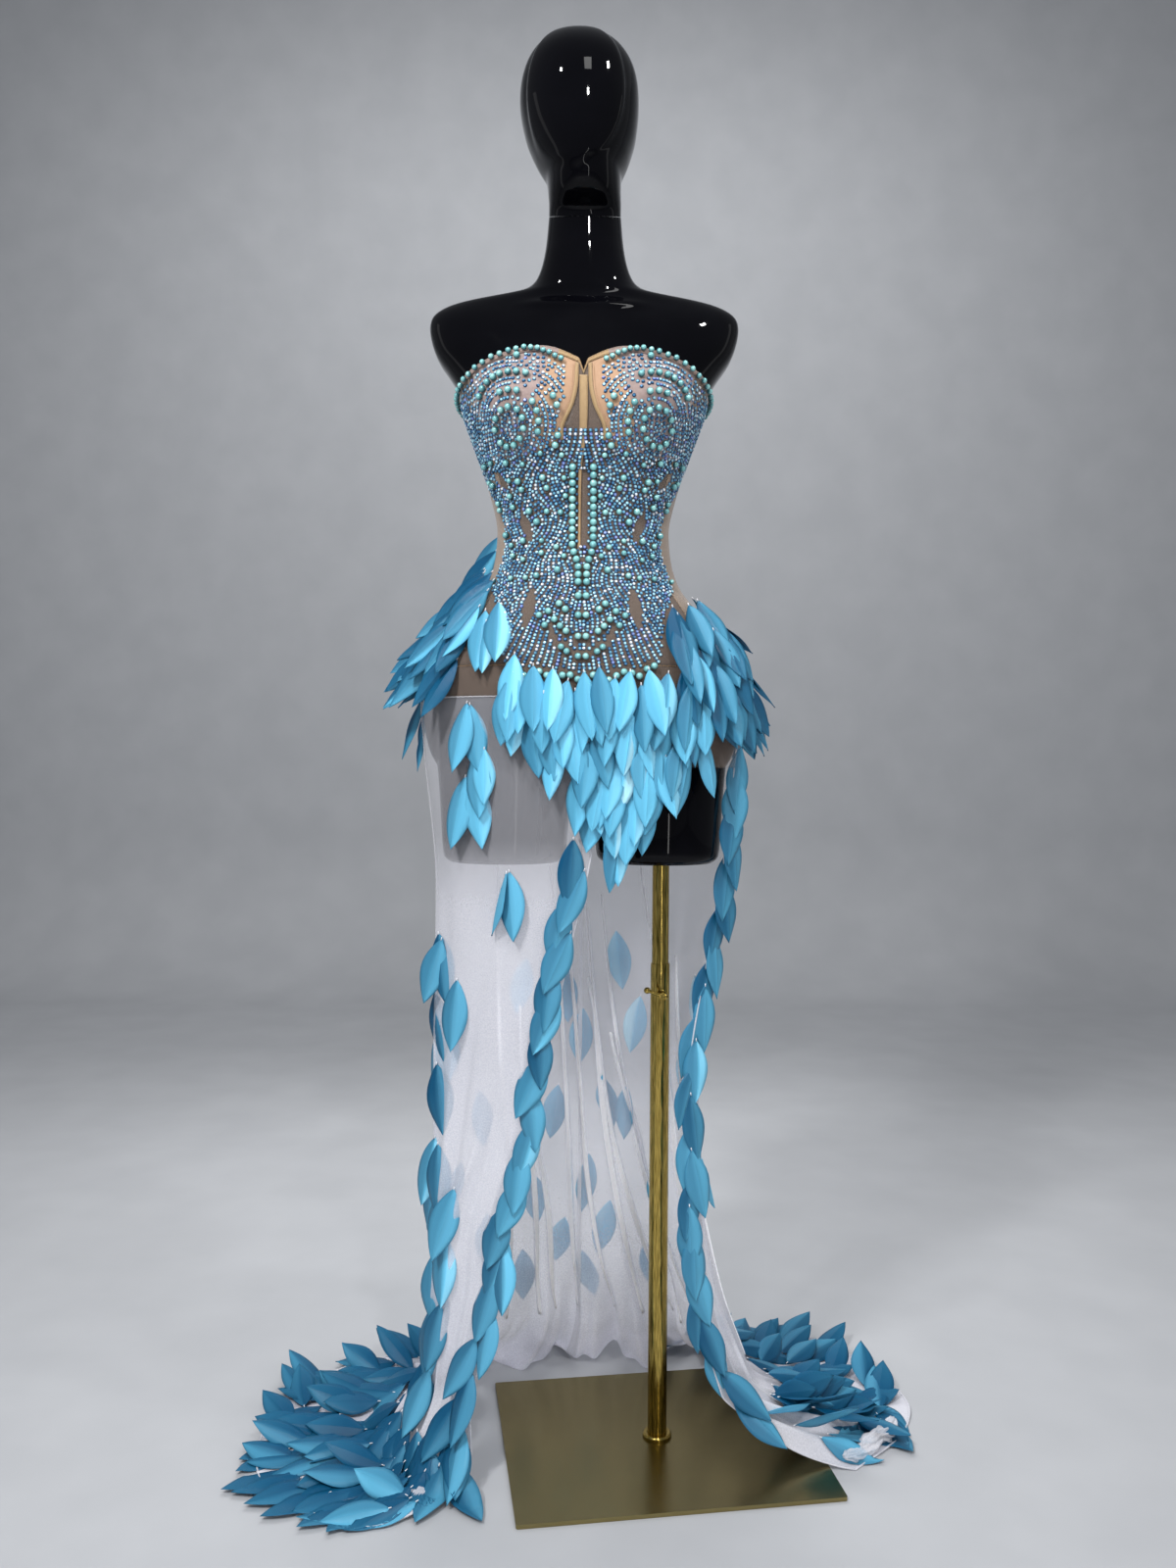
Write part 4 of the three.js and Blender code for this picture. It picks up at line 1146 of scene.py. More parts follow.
class Foliage:
    """Leaves that are joined into one piece: each adds its points and its tint. The piece stands for the CAD
    node of its name, unless it is shown only here. tone is the range of the leaves' shades: their own tone,
    which differs at random, and painted light by group, paler where lamps fall and darker where shade does."""

    def __init__(self, node, tone=(0.1, 0.5), in_cad=True):
        self.name, self.tone = node + "_satin", tone
        self.nodes = [node] if in_cad else []
        self.points, self.tints, self.tips = [], [], []

    def add(self, place, length, width, lift, swing=0.0, roll=0.0, bow=0.03, fold=0.32, ahead=0.0):
        """One leaf from its upper tip. place is that point, the way out of the cloth there, and the way down
        over it. swing turns the leaf over the cloth, lift tips its end out and roll turns it about its own
        middle line, in degrees. bow and fold are shares of its length and half width. ahead is how far a leaf
        that hangs free at an edge has turned to the front."""
        base, out, along = place
        out = out / np.linalg.norm(out) + np.array([0, -1.0, 0]) * ahead
        out = out / np.linalg.norm(out)
        along = along - out * (along @ out)
        along /= np.linalg.norm(along)
        side = np.cross(out, along)
        a, b, c = np.radians([swing, lift, roll])
        down = along * math.cos(a) + side * math.sin(a)
        cross = np.cross(out, down)
        down, up = down * math.cos(b) + out * math.sin(b), out * math.cos(b) - down * math.sin(b)
        cross, up = cross * math.cos(c) + up * math.sin(c), up * math.cos(c) - cross * math.sin(c)
        t = np.linspace(0, 1, LEAF["rows"] + 1)[:, None]
        x = np.linspace(-1, 1, LEAF["cols"] + 1)[None, :]
        half = width / 2 * np.sin(np.pi * t ** 0.94) ** 0.94
        wave = 0.8 * np.sin(9 * t + 5 * x + base[0]) * np.abs(x)
        rise = -fold * np.abs(x) * half + bow * length * np.sin(np.pi * t) + wave
        grid = (base + down * (t * length)[..., None] + cross * (x * half)[..., None] + up * rise[..., None])
        grid = grid.reshape(-1, 3)
        inward = np.clip(grid, *[[*end, z] for end, z in zip(TRAIN_ENDS, (-99, 9999))]) - grid
        base = base + inward.max(0) + inward.min(0)
        self.points.append(grid + inward.max(0) + inward.min(0))
        t_all, x_all = np.broadcast_arrays(t, x)
        # Each leaf's two halves are painted lighter and darker on each side of its fold: painted light and
        # shade.
        shade = rng.uniform(*self.tone) + 0.15 * np.sign(x_all)
        # Some leaves have one half painted pale: a painted sheen.
        if rng.uniform() < PAINTED_SHEEN_SHARE * (self.tone[1] > 0.3):
            shade = shade + 0.5 * (x_all > 0)
        self.tints.append(np.stack([np.clip(shade, 0, 1.4), t_all, np.abs(x_all)], -1).reshape(-1, 3))
        self.tips.append((base + out * 0.4, out, down))

    def between(self, base, tip, width=36.0):
        """One leaf from one point to another that turns its face up and to the front."""
        base, tip = np.array(base, float), np.array(tip, float)
        place = base, np.array([0.0, -0.5, 0.8]), tip - base
        self.add(place, np.linalg.norm(tip - base), width, lift=0)

    def finish(self):
        for leaf in self.points:
            if leaf[:, 2].min() < 30:
                leaf[:, 2] = np.maximum(leaf[:, 2], ground(leaf) + 0.6)
        faces = grid_faces(LEAF["rows"] + 1, LEAF["cols"] + 1)
        obj = new_object(self.name, *joined((leaf, faces) for leaf in self.points), LOOK["leaf_satin"])
        tint(obj, np.concatenate(self.tints))
        ends = np.zeros(2 * len(obj.data.edges), int)
        obj.data.edges.foreach_get("vertices", ends)
        on_fold = ends % len(self.points[0]) % (LEAF["cols"] + 1) == LEAF["cols"] // 2
        crease = obj.data.attributes.new("sharp_edge", "BOOLEAN", "EDGE")
        crease.data.foreach_set("value", on_fold.reshape(-1, 2).all(1))
        solidify(obj, 0.35)
        dress(obj, *self.nodes, slot="leaf_satin")
        places, out, down = (np.array([tip[k] for tip in self.tips]) for k in range(3))
        turns = np.stack([down * 2.2, np.cross(out, down), out], -1)
        more, group = copies(BAR, BAR_FACES, places, turns, np.full(len(places), 0.9))
        dress(new_object(self.name + "_knots", more, group, LOOK["thread"]))


FLOOR_CLOTH = draped_skirt(*np.meshgrid(np.linspace(0, 1, 201), np.linspace(0, 60, 21))).reshape(-1, 3)
FLOOR_CLOTH = FLOOR_CLOTH[FLOOR_CLOTH[:, 2] < 24]


def ground(points):
    """Height of what lies under each point: the cloth on the floor, the base plate, or the floor."""
    away = np.linalg.norm(points[:, None, :2] - FLOOR_CLOTH[None, :, :2], axis=-1)
    near = np.exp(-(away / 8) ** 2)
    cloth = (near @ FLOOR_CLOTH[:, 2] + 1) / (near.sum(1) + 0.2)
    turn = math.radians(PLATE["yaw"])
    x = points[..., 0] * math.cos(turn) + points[..., 1] * math.sin(turn)
    y = points[..., 1] * math.cos(turn) - points[..., 0] * math.sin(turn)
    on_plate = (np.abs(x) < PLATE["width"] / 2 + 2) & (np.abs(y) < PLATE["depth"] / 2 + 2)
    return np.maximum(np.where(on_plate, PLATE["thick"] + 0.4, 0.0), cloth)


def at_body(angle, z, lift):
    """A place on the worn cloth, the way out of it and the way down over it."""
    out = normals(worn, np.float64(angle), np.float64(z), ON_BODY)
    return worn(np.float64(angle), np.float64(z)) + out * lift, out, np.array([0, 0, -1.0])


def at_skirt(u, v, lift):
    """The same on the skirt, where down turns to outward over the floor."""
    u = np.clip(u, 0.002, 0.998)
    v = max(v, 1.0)
    out = normals(skirt, np.float64(u), np.float64(v), ON_SKIRT, -1)
    ahead = skirt(np.float64(u), np.float64(v - 1)) - skirt(np.float64(u), np.float64(v + 1))
    return skirt(np.float64(u), np.float64(v)) + out * lift, out, unit(ahead)


def jitter(size):
    return rng.uniform(-size, size)


# The apron's rows: how many, the highest one's height and how far down each next one is, and the angles
# between which its leaves are sewn, this far apart.
APRON_ROWS = {"count": 9, "high": 994, "down": 25, "first": -35, "last": 56, "apart": 8.8}
HIP_ROWS = 9
TRAIN_ROWS = (0.24, 0.86)  # how far out to the hem the first and the last row on the train are


def apron_leaves():
    """Overlapping rows that come down to a point over the slit, the lowest row first."""
    # The apron's leaves are painted paler, up to painted sheen: painted light where the front lamps fall.
    leaves = Foliage("leaves_apron", (0.36, 1.05))
    apart = APRON_ROWS["apart"]
    for row in reversed(range(APRON_ROWS["count"])):
        z = APRON_ROWS["high"] - APRON_ROWS["down"] * row
        for angle in np.arange(APRON_ROWS["first"], APRON_ROWS["last"], apart) + (row % 2) * apart / 2:
            top = z + 8 * math.sin(angle * 0.21 + row) + jitter(6)
            if top - 80 < smooth(APRON, "angle", "low", angle) - 8:
                continue
            leaves.add(at_body(angle + jitter(1.5), top, 3 + 1.0 * (APRON_ROWS["count"] - row)),
                       82 * rng.uniform(0.88, 1.08), 32 * rng.uniform(0.88, 1.1),
                       swing=jitter(13), lift=5 + jitter(5), roll=jitter(22), fold=0.4)
    for angle, z, swing, length in APRON_SIDE:
        leaves.add(at_body(angle, z, 8), length, 33, swing=swing, lift=6, roll=jitter(12), fold=0.4)
    leaves.add(at_body(20, 826, 5), 90, 33, swing=2, lift=4)
    leaves.finish()


def hip_leaves(node, sign, first, last, top, bottom, swing, count, width):
    """A tuft on one hip: rows of leaves that point down and out, turned to the side they lie on."""
    # The tufts' leaves are painted darker: painted shade, as they face away from the front lamps.
    leaves = Foliage(node, (-0.22, 0.34))
    for row in reversed(range(HIP_ROWS)):
        share = row / (HIP_ROWS - 1)
        for i in range(count):
            across = i / (count - 1)
            angle = sign * mix(first, last, across) + jitter(2.5)
            z = mix(top, bottom, share) - 30 * (1 - across) * (1 - share) + jitter(7)
            ahead = 1.5 - 3.4 * ease(0.45, 0.95, across) + jitter(0.4)
            way = sign * math.copysign(1, ahead + 0.2)
            leaves.add(at_body(angle, z, 2 + 1.0 * (HIP_ROWS - row)),
                       88 * rng.uniform(0.86, 1.1), width * rng.uniform(0.8, 1.1),
                       swing=way * (swing * (0.75 + 0.35 * across) + jitter(11)),
                       lift=9 + jitter(7), roll=jitter(24), ahead=ahead)
    return leaves


def off_floor(z):
    """How many degrees more a low leaf tips out, where the cloth turns out over the floor."""
    return 20 * float(ease(190, 100, z))


def leaf_list(leaves, places, at, ahead=0.0, off=2.6):
    """Leaves placed one by one: two coordinates, swing, length, and roll where it is given."""
    for first, second, swing, length, *turned in places:
        leaves.add(at(first, second, off), length, length * 0.4, swing=swing, ahead=ahead,
                   lift=6 + jitter(3) + off_floor(second), roll=turned[0] if turned else jitter(16))
    leaves.finish()


def leaf_chain(node, u, top, low, pitch, ahead=0.0):
    """One leaf after another up an edge, to one side and the other of it by turns."""
    leaves = Foliage(node)
    for i, v in enumerate(np.arange(low, top + 1, pitch)):
        side = 1 if i % 2 else -1
        leaves.add(at_skirt(u(v) + side * 0.012, v, 2.6 + 0.8 * (i % 3)),
                   84 * rng.uniform(0.94, 1.06), 34 * rng.uniform(0.92, 1.08),
                   swing=side * 8 + jitter(7), lift=4 + jitter(3), roll=jitter(13), fold=0.24, ahead=ahead)
    return leaves


def turned_by(way, degrees):
    """A direction turned about the vertical."""
    a = math.radians(degrees)
    x, y, z = way
    return np.array([x * math.cos(a) - y * math.sin(a), x * math.sin(a) + y * math.cos(a), z])


def train_leaves(node, low_u, high_u, rows, counts, gaps):
    """Scaly rows lying on the train, the hem's row first, all pointing out to the hem."""
    # The train's leaves are painted darker: painted shade toward the floor.
    leaves = Foliage(node, (-0.3, 0.18))
    for row in reversed(range(rows)):
        share = mix(*TRAIN_ROWS, row / (rows - 1))
        count = int(mix(counts[0], counts[1], row / (rows - 1)))
        for i in range(count):
            if rng.uniform() < gaps:
                continue
            u = mix(low_u, high_u, (i + 0.5 * (row % 2) + jitter(0.25)) / count)
            base, out, down = at_skirt(u, FLOOR_TURN * (1 - share) + jitter(1.5), 3 + 1.5 * (rows - 1 - row))
            length = 84 * rng.uniform(0.85, 1.08)
            swing = jitter(34)
            for turn in (0, -35, 35, -70, 70, -100):
                tip = base + length * turned_by(down, swing + turn)
                if np.all((tip[:2] > TRAIN_ENDS[0] + 6) & (tip[:2] < TRAIN_ENDS[1] - 6)):
                    break
            leaves.add((base, out, down), length, 35 * rng.uniform(0.88, 1.1), swing=swing + turn,
                       lift=3 + 6 * rng.uniform(), roll=jitter(10), bow=0.02, fold=0.22, ahead=0.3)
    leaves.finish()


# Leaves set one by one: angle and height on the body, how far each swings to the wearer's left, its length.
WAIST = [[-53.5, 1056, 3, 70, 6], [-56.6, 1070, 0, 84, -8], [-51, 1080, 6, 86, -12]]
THIGH = [[-55.8, 958, -9, 88, 14], [-54.6, 956, 9, 84, -12], [-49, 902, 2, 70], [-52.5, 901, 5, 86, 8],
         [-57.2, 868, -11, 92, 12], [-54, 864, 9, 86, -10]]
KNEE = [[-41.6, 751, -13, 80, 64], [-40.2, 753, 5, 86, 6]]
APRON_SIDE = [[-37.5, 984, -4, 82], [-33.5, 999, 3, 84], [-36, 1015, -3, 86]]

# The outermost ones at the right hip, with their widths last.
OUTERMOST = [[-100, 1182, -30, 92, 34], [-97, 1163, -40, 94, 34], [-96, 975, -15, 92, 15],
             [-98, 958, -3, 66, 11], [-95, 930, -7, 58, 10]]

# The same on the skirt, by u and height. The first are down the side, then those over the back.
EDGE = [
    [0.213, 668, 12, 88], [0.205, 662, -12, 86], [0.175, 614, 2, 90, 6], [0.226, 590, 14, 88],
    [0.214, 500, 10, 90], [0.204, 398, 10, 92], [0.222, 402, -8, 90], [0.138, 352, -3, 94, -6],
    [0.212, 322, 12, 90], [0.144, 290, 3, 90, 8], [0.2, 252, 10, 88], [0.222, 238, 18, 86],
    [0.147, 200, -2, 88], [0.213, 176, 10, 90], [0.262, 520, 10, 84], [0.27, 350, -8, 86],
    [0.268, 205, 9, 84], [0.2, 118, 4, 88], [0.172, 110, -10, 86],
]
BACK = [
    [0.31, 520, 8, 84], [0.345, 430, -10, 86], [0.33, 330, 12, 82], [0.365, 250, -6, 86],
    [0.41, 610, 10, 82], [0.43, 300, -12, 86], [0.42, 190, -8, 86], [0.46, 430, 8, 84],
    [0.47, 600, -6, 86], [0.475, 230, 10, 82], [0.505, 538, 4, 86], [0.52, 330, 6, 86], [0.5, 180, -10, 84],
    [0.535, 442, -10, 82], [0.55, 260, 12, 84], [0.56, 650, -6, 86], [0.575, 430, 8, 84],
    [0.59, 200, -8, 86], [0.6, 560, 10, 84], [0.63, 330, 6, 86], [0.66, 480, -8, 84],
    [0.67, 240, 10, 82], [0.69, 600, -6, 84], [0.71, 360, 10, 82],
]

# The last ones on the floor at the slit's front corner: x, y, z of the upper end and of the tip.
CORNER_LEAVES = [
    [-322, -172, 12, -402, -188, 5], [-292, -160, 13, -360, -205, 5], [-306, -150, 14, -372, -116, 16],
    [-252, -84, 60, -247, -160, 14], [-264, -108, 32, -290, -200, 6], [-260, -108, 36, -214, -194, 5],
]


def slit_right_chain():
    leaves = leaf_chain("leaves_slit_right", lambda v: 0.012 + 0.00001 * v, 795, 300, 38)
    for i, v in enumerate([292, 252, 212, 172, 132, 100, 76]):
        leaves.add(at_skirt(0.013 + 0.014 * (i % 2), v, 2.8 + 0.6 * i), 88, 35,
                   swing=(-1) ** i * 9, lift=6 + off_floor(v), roll=jitter(18))
    for place in CORNER_LEAVES:
        leaves.between(place[:3], place[3:])
    leaves.finish()


def slit_left_chain():
    leaves = leaf_chain("leaves_slit_left", lambda v: 0.985 - 0.00006 * max(v - 500, 0), 915, 160, 34, 1.3)
    for i, v in enumerate([120, 84, 58, 40]):
        leaves.add(at_skirt(0.975 - 0.01 * i, v, 3), 86, 35,
                   swing=(-1) ** i * 16, lift=7 + off_floor(v), roll=jitter(18))
    for u, swing in ((0.93, 12), (0.955, -8), (0.9, 20)):
        leaves.add(at_skirt(u, 26, 4), 88, 32, swing=swing, lift=5, roll=jitter(16))
    leaves.finish()


def tuft_right():
    leaves = hip_leaves("leaves_hip_right", -1, 63, 122, 1144, 1018, 42, 9, 27)
    for angle, z, swing, length, width in OUTERMOST:
        leaves.add(at_body(angle, z, 3), length, width, swing=swing, lift=6, ahead=1.8)
    leaves.finish()


apron_leaves()
tuft_right()
hip_leaves("leaves_hip_left", 1, 54, 114, 1106, 974, 13, 7, 32).finish()
# The waist's, thigh's and knee's leaves are painted paler: painted light where the front lamps fall.
leaf_list(Foliage("leaves_waist", (0.4, 0.8)), WAIST, at_body, 0.7, 6)
leaf_list(Foliage("leaves_thigh", (0.35, 1.0)), THIGH, at_body, 0.5)
leaf_list(Foliage("leaves_knee", (0.4, 0.8)), KNEE, at_body, 0.2)
leaf_list(Foliage("leaves_edge_right"), EDGE, at_skirt, 1.5)
# The back's leaves are painted pale: painted light, as if lit through from behind.
leaf_list(Foliage("leaves_back", (0.7, 1.0), in_cad=False), BACK, at_skirt, off=11)
slit_right_chain()
slit_left_chain()
train_leaves("leaves_train_right", 0.06, 0.4, 8, (10, 17), 0.08)
train_leaves("leaves_train_left", 0.6, 0.86, 7, (8, 13), 0.14)


def make_hem_roll():
    """The hem's end, rolled up on itself on the floor and wrinkled along its length."""
    u = finer([0.86, 0.995], 0.0015)
    path, _ = line_on(skirt, u, 6.0, ON_SKIRT, -1, 0)
    path[:, 2] += 9 + 3 * np.sin(u * 90)
    share = (u - u[0]) / (u[-1] - u[0])
    radius = 7.5 * np.sin(np.pi * (share * 0.94 + 0.03)) ** 0.35 * (1 + 0.18 * np.sin(share * 23))
    sides = 40
    ahead = unit(np.gradient(path, axis=0))
    side = unit(np.cross(ahead, [0, 0, 1.0]))
    up = np.cross(side, ahead)
    turn = np.linspace(0, 2 * np.pi, sides, endpoint=False)
    wrinkle = (1 + 0.2 * np.sin(7 * turn[None] + 19 * share[:, None])
               + 0.09 * np.sin(13 * turn[None] - 31 * share[:, None]))
    reach = radius[:, None, None] * wrinkle[..., None]
    ring = np.cos(turn)[None, :, None] * side[:, None] * 1.35 + np.sin(turn)[None, :, None] * up[:, None]
    points = path[:, None] + ring * reach
    points[..., 2] = np.maximum(points[..., 2], 1.2)
    obj = new_object("hem_roll_cloth", points, capped_faces(len(path), sides), LOOK["hem_mesh"])
    return dress(obj, "hem_roll", slot="white_mesh")


hem_roll = make_hem_roll()

# ---------- the beads ----------

# How far the beads reach to each side on the body, by height, in millimetres over the cloth.
COVER = columns("z reach", [
    [975, 60],
    [1000, 92],
    [1035, 99],
    [1065, 103],
    [1085, 113],
    [1108, 128],
    [1122, 122],
    [1150, 112],
    [1190, 114],
    [1225, 142],
    [1262, 180],
    [1300, 215],
    [1391, 232],
])

# Almond openings left without beads: how far out, height, half width, half height, lean in degrees.
OPENINGS = [
    [66, 1072, 9, 30, 8],
    [34, 1036, 5, 20, -16],
    [74, 1178, 7, 24, -22],
    [112, 1236, 6, 22, -50],
    [66, 1330, 6, 24, 40],
]
KEYHOLE = {"half": 7, "low": 1150, "high": 1243}
SCALLOP = {"low": 976, "deep": 9, "wide": 34, "rise": 0.0016}
BODICE_V = {"half": 23, "low": 1287, "spread": 12, "over": 43}  # the bare place between the cups
BONE_LIFT = {"half": 9, "low": 1140, "lift": 2.2}  # beads on the boning tape or the binding stand this high

# Colours of the crystals: at the girdle, which is painted shade, then on the table, which is a painted
# highlight and in one colour a white painted glint, with how many of a hundred have them.
CRYSTAL_COLOURS = np.array([
    [[0.004, 0.03, 0.09], [0.07, 0.22, 0.4]],
    [[0.008, 0.05, 0.14], [0.2, 0.5, 0.7]],
    [[0.015, 0.08, 0.2], [0.5, 0.85, 0.95]],
    [[0.012, 0.04, 0.18], [0.28, 0.38, 0.75]],
    [[0.03, 0.14, 0.28], [1.0, 1.0, 1.0]],
])
CRYSTAL_SHARE = np.array([25, 29, 29, 6, 11]) / 100
# Colours of the pearls: at the rim, which is painted shade, then at the top, which is a painted highlight.
PEARL_COLOURS = np.array([
    [[0.008, 0.09, 0.11], [0.26, 0.6, 0.6]],
    [[0.012, 0.11, 0.13], [0.34, 0.68, 0.66]],
    [[0.008, 0.08, 0.1], [0.2, 0.5, 0.52]],
])


class Chart:
    """Turns distances over the cloth from centre front into angles, at any height."""

    low, high, step = 970, 1400, 5.0

    def __init__(self):
        self.heights = np.arange(self.low, self.high, self.step)
        self.angles = np.linspace(0, 130, 131)
        points = worn(self.angles[None, :], self.heights[:, None])
        steps = np.linalg.norm(np.diff(points, axis=1), axis=-1)
        self.runs = np.concatenate([np.zeros((len(self.heights), 1)), np.cumsum(steps, 1)], 1)

    def angle(self, away, z):
        i = int(np.clip(round((z - self.low) / self.step), 0, len(self.heights) - 1))
        return math.copysign(float(np.interp(abs(away), self.runs[i], self.angles)), away)


CHART = Chart()


def covered(away, z):
    """True where beads are sewn: inside their outline, and off the openings, the keyhole and the bare V."""
    size = abs(away)
    if size > smooth(COVER, "z", "reach", z) or z < scallop(size):
        return False
    if size < KEYHOLE["half"] and KEYHOLE["low"] < z < KEYHOLE["high"]:
        return False
    angle = abs(CHART.angle(away, z))
    top = smooth(NECKLINE, "angle", "z", angle)
    if z > top - 5:
        return False
    closing = ease(BODICE_V["low"], BODICE_V["low"] + BODICE_V["over"], z)
    if z > BODICE_V["low"] and size < BODICE_V["half"] + BODICE_V["spread"] * (1 - closing):
        return False
    for out, height, wide, tall, lean in OPENINGS:
        turn = math.radians(lean)
        dx, dz = size - out, z - height
        x = dx * math.cos(turn) + dz * math.sin(turn)
        y = dz * math.cos(turn) - dx * math.sin(turn)
        if (abs(x) / wide) ** 1.4 + (abs(y) / tall) ** 1.4 < 1:
            return False
    return True


def scallop(size):
    """Height of the beads' lower edge: a row of scallops that rises to the sides."""
    wave = SCALLOP["deep"] * abs(math.sin(math.pi * size / SCALLOP["wide"]))
    return SCALLOP["low"] + wave + SCALLOP["rise"] * size * size


class Beadwork:
    """Beads placed one by one on the wearer's left where there is room; the right side mirrors them."""

    def __init__(self):
        self.cells, self.items, self.line = {}, {"pearl": [], "crystal": []}, 0

    def add(self, angle, z, radius, kind, apart=0.0):
        """Adds a bead if it is apart from the beads of other lines and clear of those of its own."""
        point = worn(np.float64(angle), np.float64(z))
        key = tuple((point // CELL).astype(int))
        for cell in NEIGHBOURS:
            beside = tuple(a + b for a, b in zip(key, cell))
            for other, size, line in self.cells.get(beside, ()):
                gap = radius + size + (-0.35 if line == self.line else apart)
                if np.abs(point - other).max() < gap and ((point - other) ** 2).sum() < gap * gap:
                    return False
        self.cells.setdefault(key, []).append((point, radius, self.line))
        self.items[kind].append((angle, z, radius))
        return True

    def place(self, away, z, radius, kind, apart=0.0):
        """Adds a bead at a distance from centre front and a height, where beads are sewn."""
        if away <= radius * 0.9 or not covered(away, z):
            return False
        return self.add(CHART.angle(away, z), z, radius, kind, apart)


NEIGHBOURS = [(x, y, z) for x in (-1, 0, 1) for y in (-1, 0, 1) for z in (-1, 0, 1)]
CELL = 12  # the side of the cubes by which beads are looked up; no two beads in touch are further apart
PEARL_SIZE = 4.75
CRYSTAL_SIZE = 2.32
CRYSTAL_PITCH = 4.4
LONGEST_RUN = 60  # crystals that a line has at most to each side of its first
FILLERS = (2.1, 1.7, 1.35)  # smaller crystals for the gaps between the lines, the largest first
LINED = {"high": 1390, "low": 974, "reach": 236}  # where places for a line's first crystal are tried
FILLED = {"high": 1312, "low": 1042, "reach": 236}  # where gaps are filled

# Middles of the circles over the cup, the whorl and the rays: a distance from centre front and a height.
CUP_CENTRE = (92, 1292)
WHORL = (62, 1186)
FAN = (0, 1172)

# Garlands of pearls under the keyhole: each one's height at centre front, and how far it reaches aside.
GARLANDS = ((1086, 20), (1062, 34), (1036, 46), (1012, 54))
# Arcs and rings of pearls round the middle of the cup: radius, and the first and the last angle.
CUP_ARCS = ((38, 75, 200), (62, 40, 118), (62, 150, 205), (86, 60, 100), (20, 0, 360))


def heading(x, z):
    """Which way the lines of beads run: circles over the cup, waves and a whorl at the waist, rays below."""
    waist = ease(1096, 1132, z) * ease(1272, 1236, z)
    near_whorl = math.exp(-((x - WHORL[0]) ** 2 + (z - WHORL[1]) ** 2) / 800)
    flows = (
        (ease(1236, 1272, z), z - CUP_CENTRE[1], CUP_CENTRE[0] - x),
        (waist, 0.6 * math.sin((z - 1100) / 17 + x * 0.035), 1.0),
        (1.8 * near_whorl, z - WHORL[1], WHORL[0] - x),
        (ease(1132, 1096, z), x - FAN[0] + 14 * math.sin(z / 13), z - FAN[1]),
    )
    even, odd = 0.0, 0.0
    for weight, dx, dz in flows:
        size = dx * dx + dz * dz + 1e-6
        even += weight * (dx * dx - dz * dz) / size
        odd += weight * 2 * dx * dz / size
    slope = 0.5 * math.atan2(odd, even)
    return math.cos(slope), math.sin(slope)


def pearl_rows(work):
    """Pearls along the top, beside the keyhole, in garlands below it, along the lower edge, in arcs and rings
    over the cup, and here and there at the waist."""
    for i, angle in enumerate(np.arange(15, 179, 3.7)):
        top = float(smooth(NECKLINE, "angle", "z", angle))
        work.add(angle, top - 4.6 - 0.8 * (i % 2), PEARL_SIZE * 0.78, "pearl")
    for z in np.arange(1104, 1250, 9.4):
        work.place(12.5 - 7.5 * ease(1152, 1120, z), z, PEARL_SIZE, "pearl")
    for nest, (base, width) in enumerate(GARLANDS):
        for size in np.arange(4.7, width, 8.2 - 0.5 * nest):
            work.place(size, base + 0.019 * size * size, PEARL_SIZE * (1 - 0.03 * nest), "pearl")
    for size in np.arange(4.6, 126, 9.2):
        work.place(size, scallop(size) + 4.8, PEARL_SIZE, "pearl")
    for arc, first, last in CUP_ARCS:
        for turn in np.radians(np.arange(first, last, math.degrees(11 / arc))):
            away, z = CUP_CENTRE[0] + arc * math.cos(turn), CUP_CENTRE[1] + arc * math.sin(turn)
            work.place(away, z, PEARL_SIZE * 0.94, "pearl")
    for z in np.arange(1116, 1262, 20):
        for size in np.arange(27, 150, 24):
            work.place(size + jitter(8), z + jitter(8), PEARL_SIZE * rng.uniform(0.7, 1), "pearl")


def between_lines(z):
    """How much further apart the crystals' lines are over the top of the cups and at the lower edge."""
    return 1.4 * float(ease(1300, 1335, z)) + 1.2 * float(ease(1052, 1030, z))


def run_of_crystals(work, x, z, way):
    """Crystals one after another along the heading, until one has no room."""
    before = None
    for _ in range(LONGEST_RUN):
        dx, dz = heading(x, z)
        turn = way if before is None else math.copysign(1, dx * before[0] + dz * before[1])
        before = (dx * turn, dz * turn)
        x, z = x + before[0] * CRYSTAL_PITCH, z + before[1] * CRYSTAL_PITCH
        if not work.place(x, z, CRYSTAL_SIZE * rng.uniform(0.92, 1.03), "crystal", between_lines(z)):
            break


def crystal_rows(work):
    """Crystals in lines that follow the heading, each new line beside those already there."""
    for z in np.arange(LINED["high"], LINED["low"], -2.2):
        for size in np.arange(2.4, LINED["reach"], 2.2):
            work.line += 1
            if work.place(size, z, CRYSTAL_SIZE, "crystal", between_lines(z)):
                for way in (1, -1):
                    run_of_crystals(work, size, z, way)
    for radius in FILLERS:
        for z in np.arange(FILLED["high"], FILLED["low"], -1.8):
            for size in np.arange(1.8, FILLED["reach"], 1.8):
                work.line += 1
                work.place(size, z, radius, "crystal", -0.1)


def gem_template(sides=7):
    """A flat-backed faceted stone of radius 1: its points, its faces and how far each point has the table's
    colour. The table's colour is a painted highlight; the girdle and the wider ring at its foot keep the dark
    one, painted shade at the stone's rim and in the gaps between stones."""
    turn = np.linspace(0, 2 * np.pi, sides, endpoint=False)
    levels = ((1.14, 0.0, 0.0), (0.98, 0.3, 0.0), (0.6, 0.74, 0.75))
    points = [[r * math.cos(a), r * math.sin(a), h] for r, h, _ in levels for a in turn] + [[0, 0, 0.76]]
    faces = grid_faces(3, sides, closed=True)
    faces += [(2 * sides + i, 2 * sides + (i + 1) % sides, 3 * sides) for i in range(sides)]
    return np.array(points), faces, np.repeat([share for *_, share in levels] + [1.0], [sides] * 3 + [1])


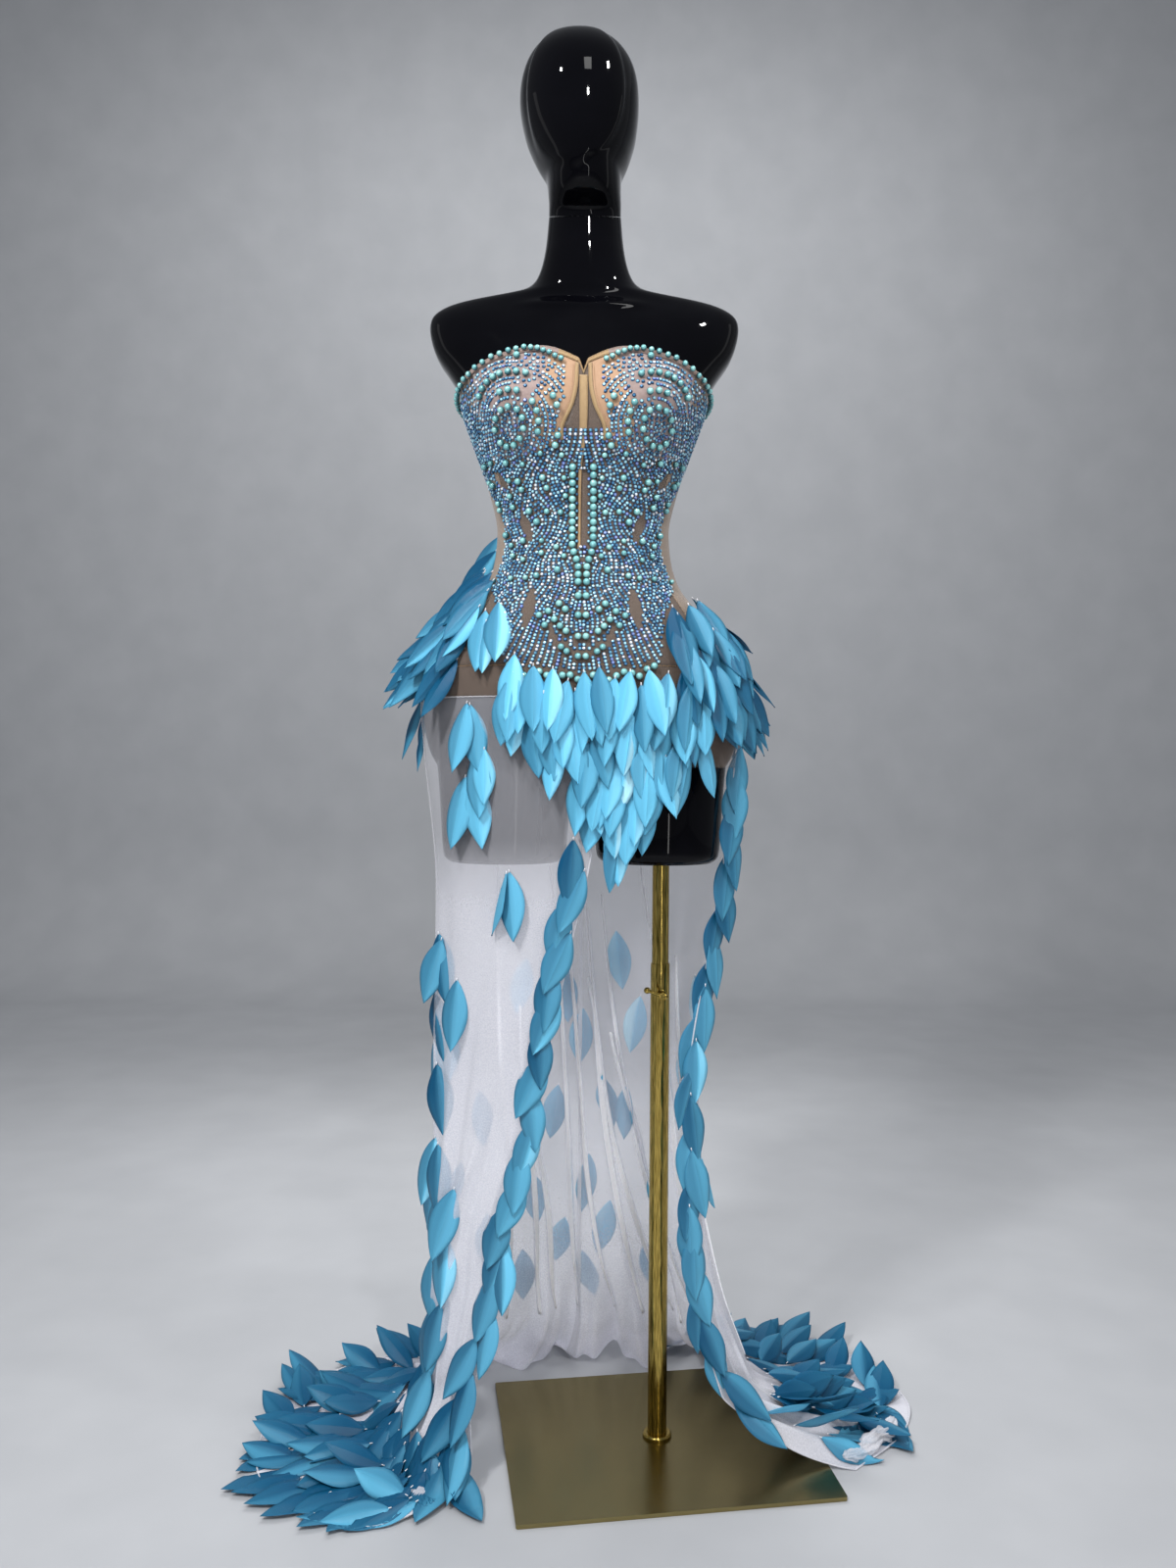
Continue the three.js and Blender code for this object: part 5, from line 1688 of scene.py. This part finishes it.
def pearl_template(sides=12, levels=6):
    """A round bead of radius 1 that sits a little into the cloth, told as the stone is: its share runs from
    painted shade low at its rim to a painted highlight at its top.
    """
    rise = np.radians(np.linspace(-50, 84, levels))
    turn = np.linspace(0, 2 * np.pi, sides, endpoint=False)
    points = [[math.cos(h) * math.cos(a), math.cos(h) * math.sin(a), math.sin(h) + 0.7]
              for h in rise for a in turn]
    faces = grid_faces(levels, sides, closed=True) + [tuple((levels - 1) * sides + i for i in range(sides))]
    return np.array(points), faces, np.repeat(ease(0.05, 0.95, np.sin(rise)), sides)


def make_beads(name, items, sign, template, look, colours, tilt, soft):
    """One side's beads. colours holds two for each bead: its edge's, which is painted shade, and its
    middle's, which is a painted highlight.
    """
    shape, shape_faces, share = template
    angle, z, radius = np.array(items).T
    angle = angle * sign
    out = normals(worn, angle, z, ON_BODY)
    points = worn(angle, z)
    in_front = (np.abs(points[:, 0] - BODY_X) < BONE_LIFT["half"]) & (points[:, 1] < 0)
    on_bone = in_front & (z > BONE_LIFT["low"])
    on_binding = z > smooth(NECKLINE, "angle", "z", np.abs(angle)) - 7
    places = points + out * (0.4 + BONE_LIFT["lift"] * (on_bone | on_binding))[:, None]
    out = unit(out + rng.normal(0, tilt, out.shape))
    points, faces = copies(shape, shape_faces, places, axes_on(out, rng.uniform(0, 6.28, len(items))), radius)
    obj = new_object(name, points, faces, LOOK[look], soft)
    tint(obj, mix(colours[:, :1], colours[:, 1:], share[None, :, None]).reshape(-1, 3))
    return dress(obj)


beadwork = Beadwork()
pearl_rows(beadwork)
crystal_rows(beadwork)
PEARLS, STONES = beadwork.items["pearl"], beadwork.items["crystal"]
BEADS = []
for bead_side, sign in (("right", -1), ("left", 1)):
    pearl_colours = PEARL_COLOURS[rng.integers(0, len(PEARL_COLOURS), len(PEARLS))]
    stone_colours = CRYSTAL_COLOURS[rng.choice(len(CRYSTAL_COLOURS), len(STONES), p=CRYSTAL_SHARE)]
    stone_colours = np.clip(stone_colours * rng.uniform(0.8, 1.1, (len(STONES), 1, 1)), 0, 1)
    for name, items, template, look, colours, tilt, soft in (
        ("pearls_", PEARLS, pearl_template(), "pearl", pearl_colours, 0, True),
        ("crystals_", STONES, gem_template(), "crystal", stone_colours, 0.16, False),
    ):
        BEADS.append(make_beads(name + bead_side, items, sign, template, look, colours, tilt, soft))

# This lamp shines on the beads alone, so that its reflection stays off the gloss form.
lit = bpy.data.collections.new("lit_beads")
for beads in BEADS:
    lit.objects.link(beads)
bpy.data.objects["bead_spot"].light_linking.receiver_collection = lit
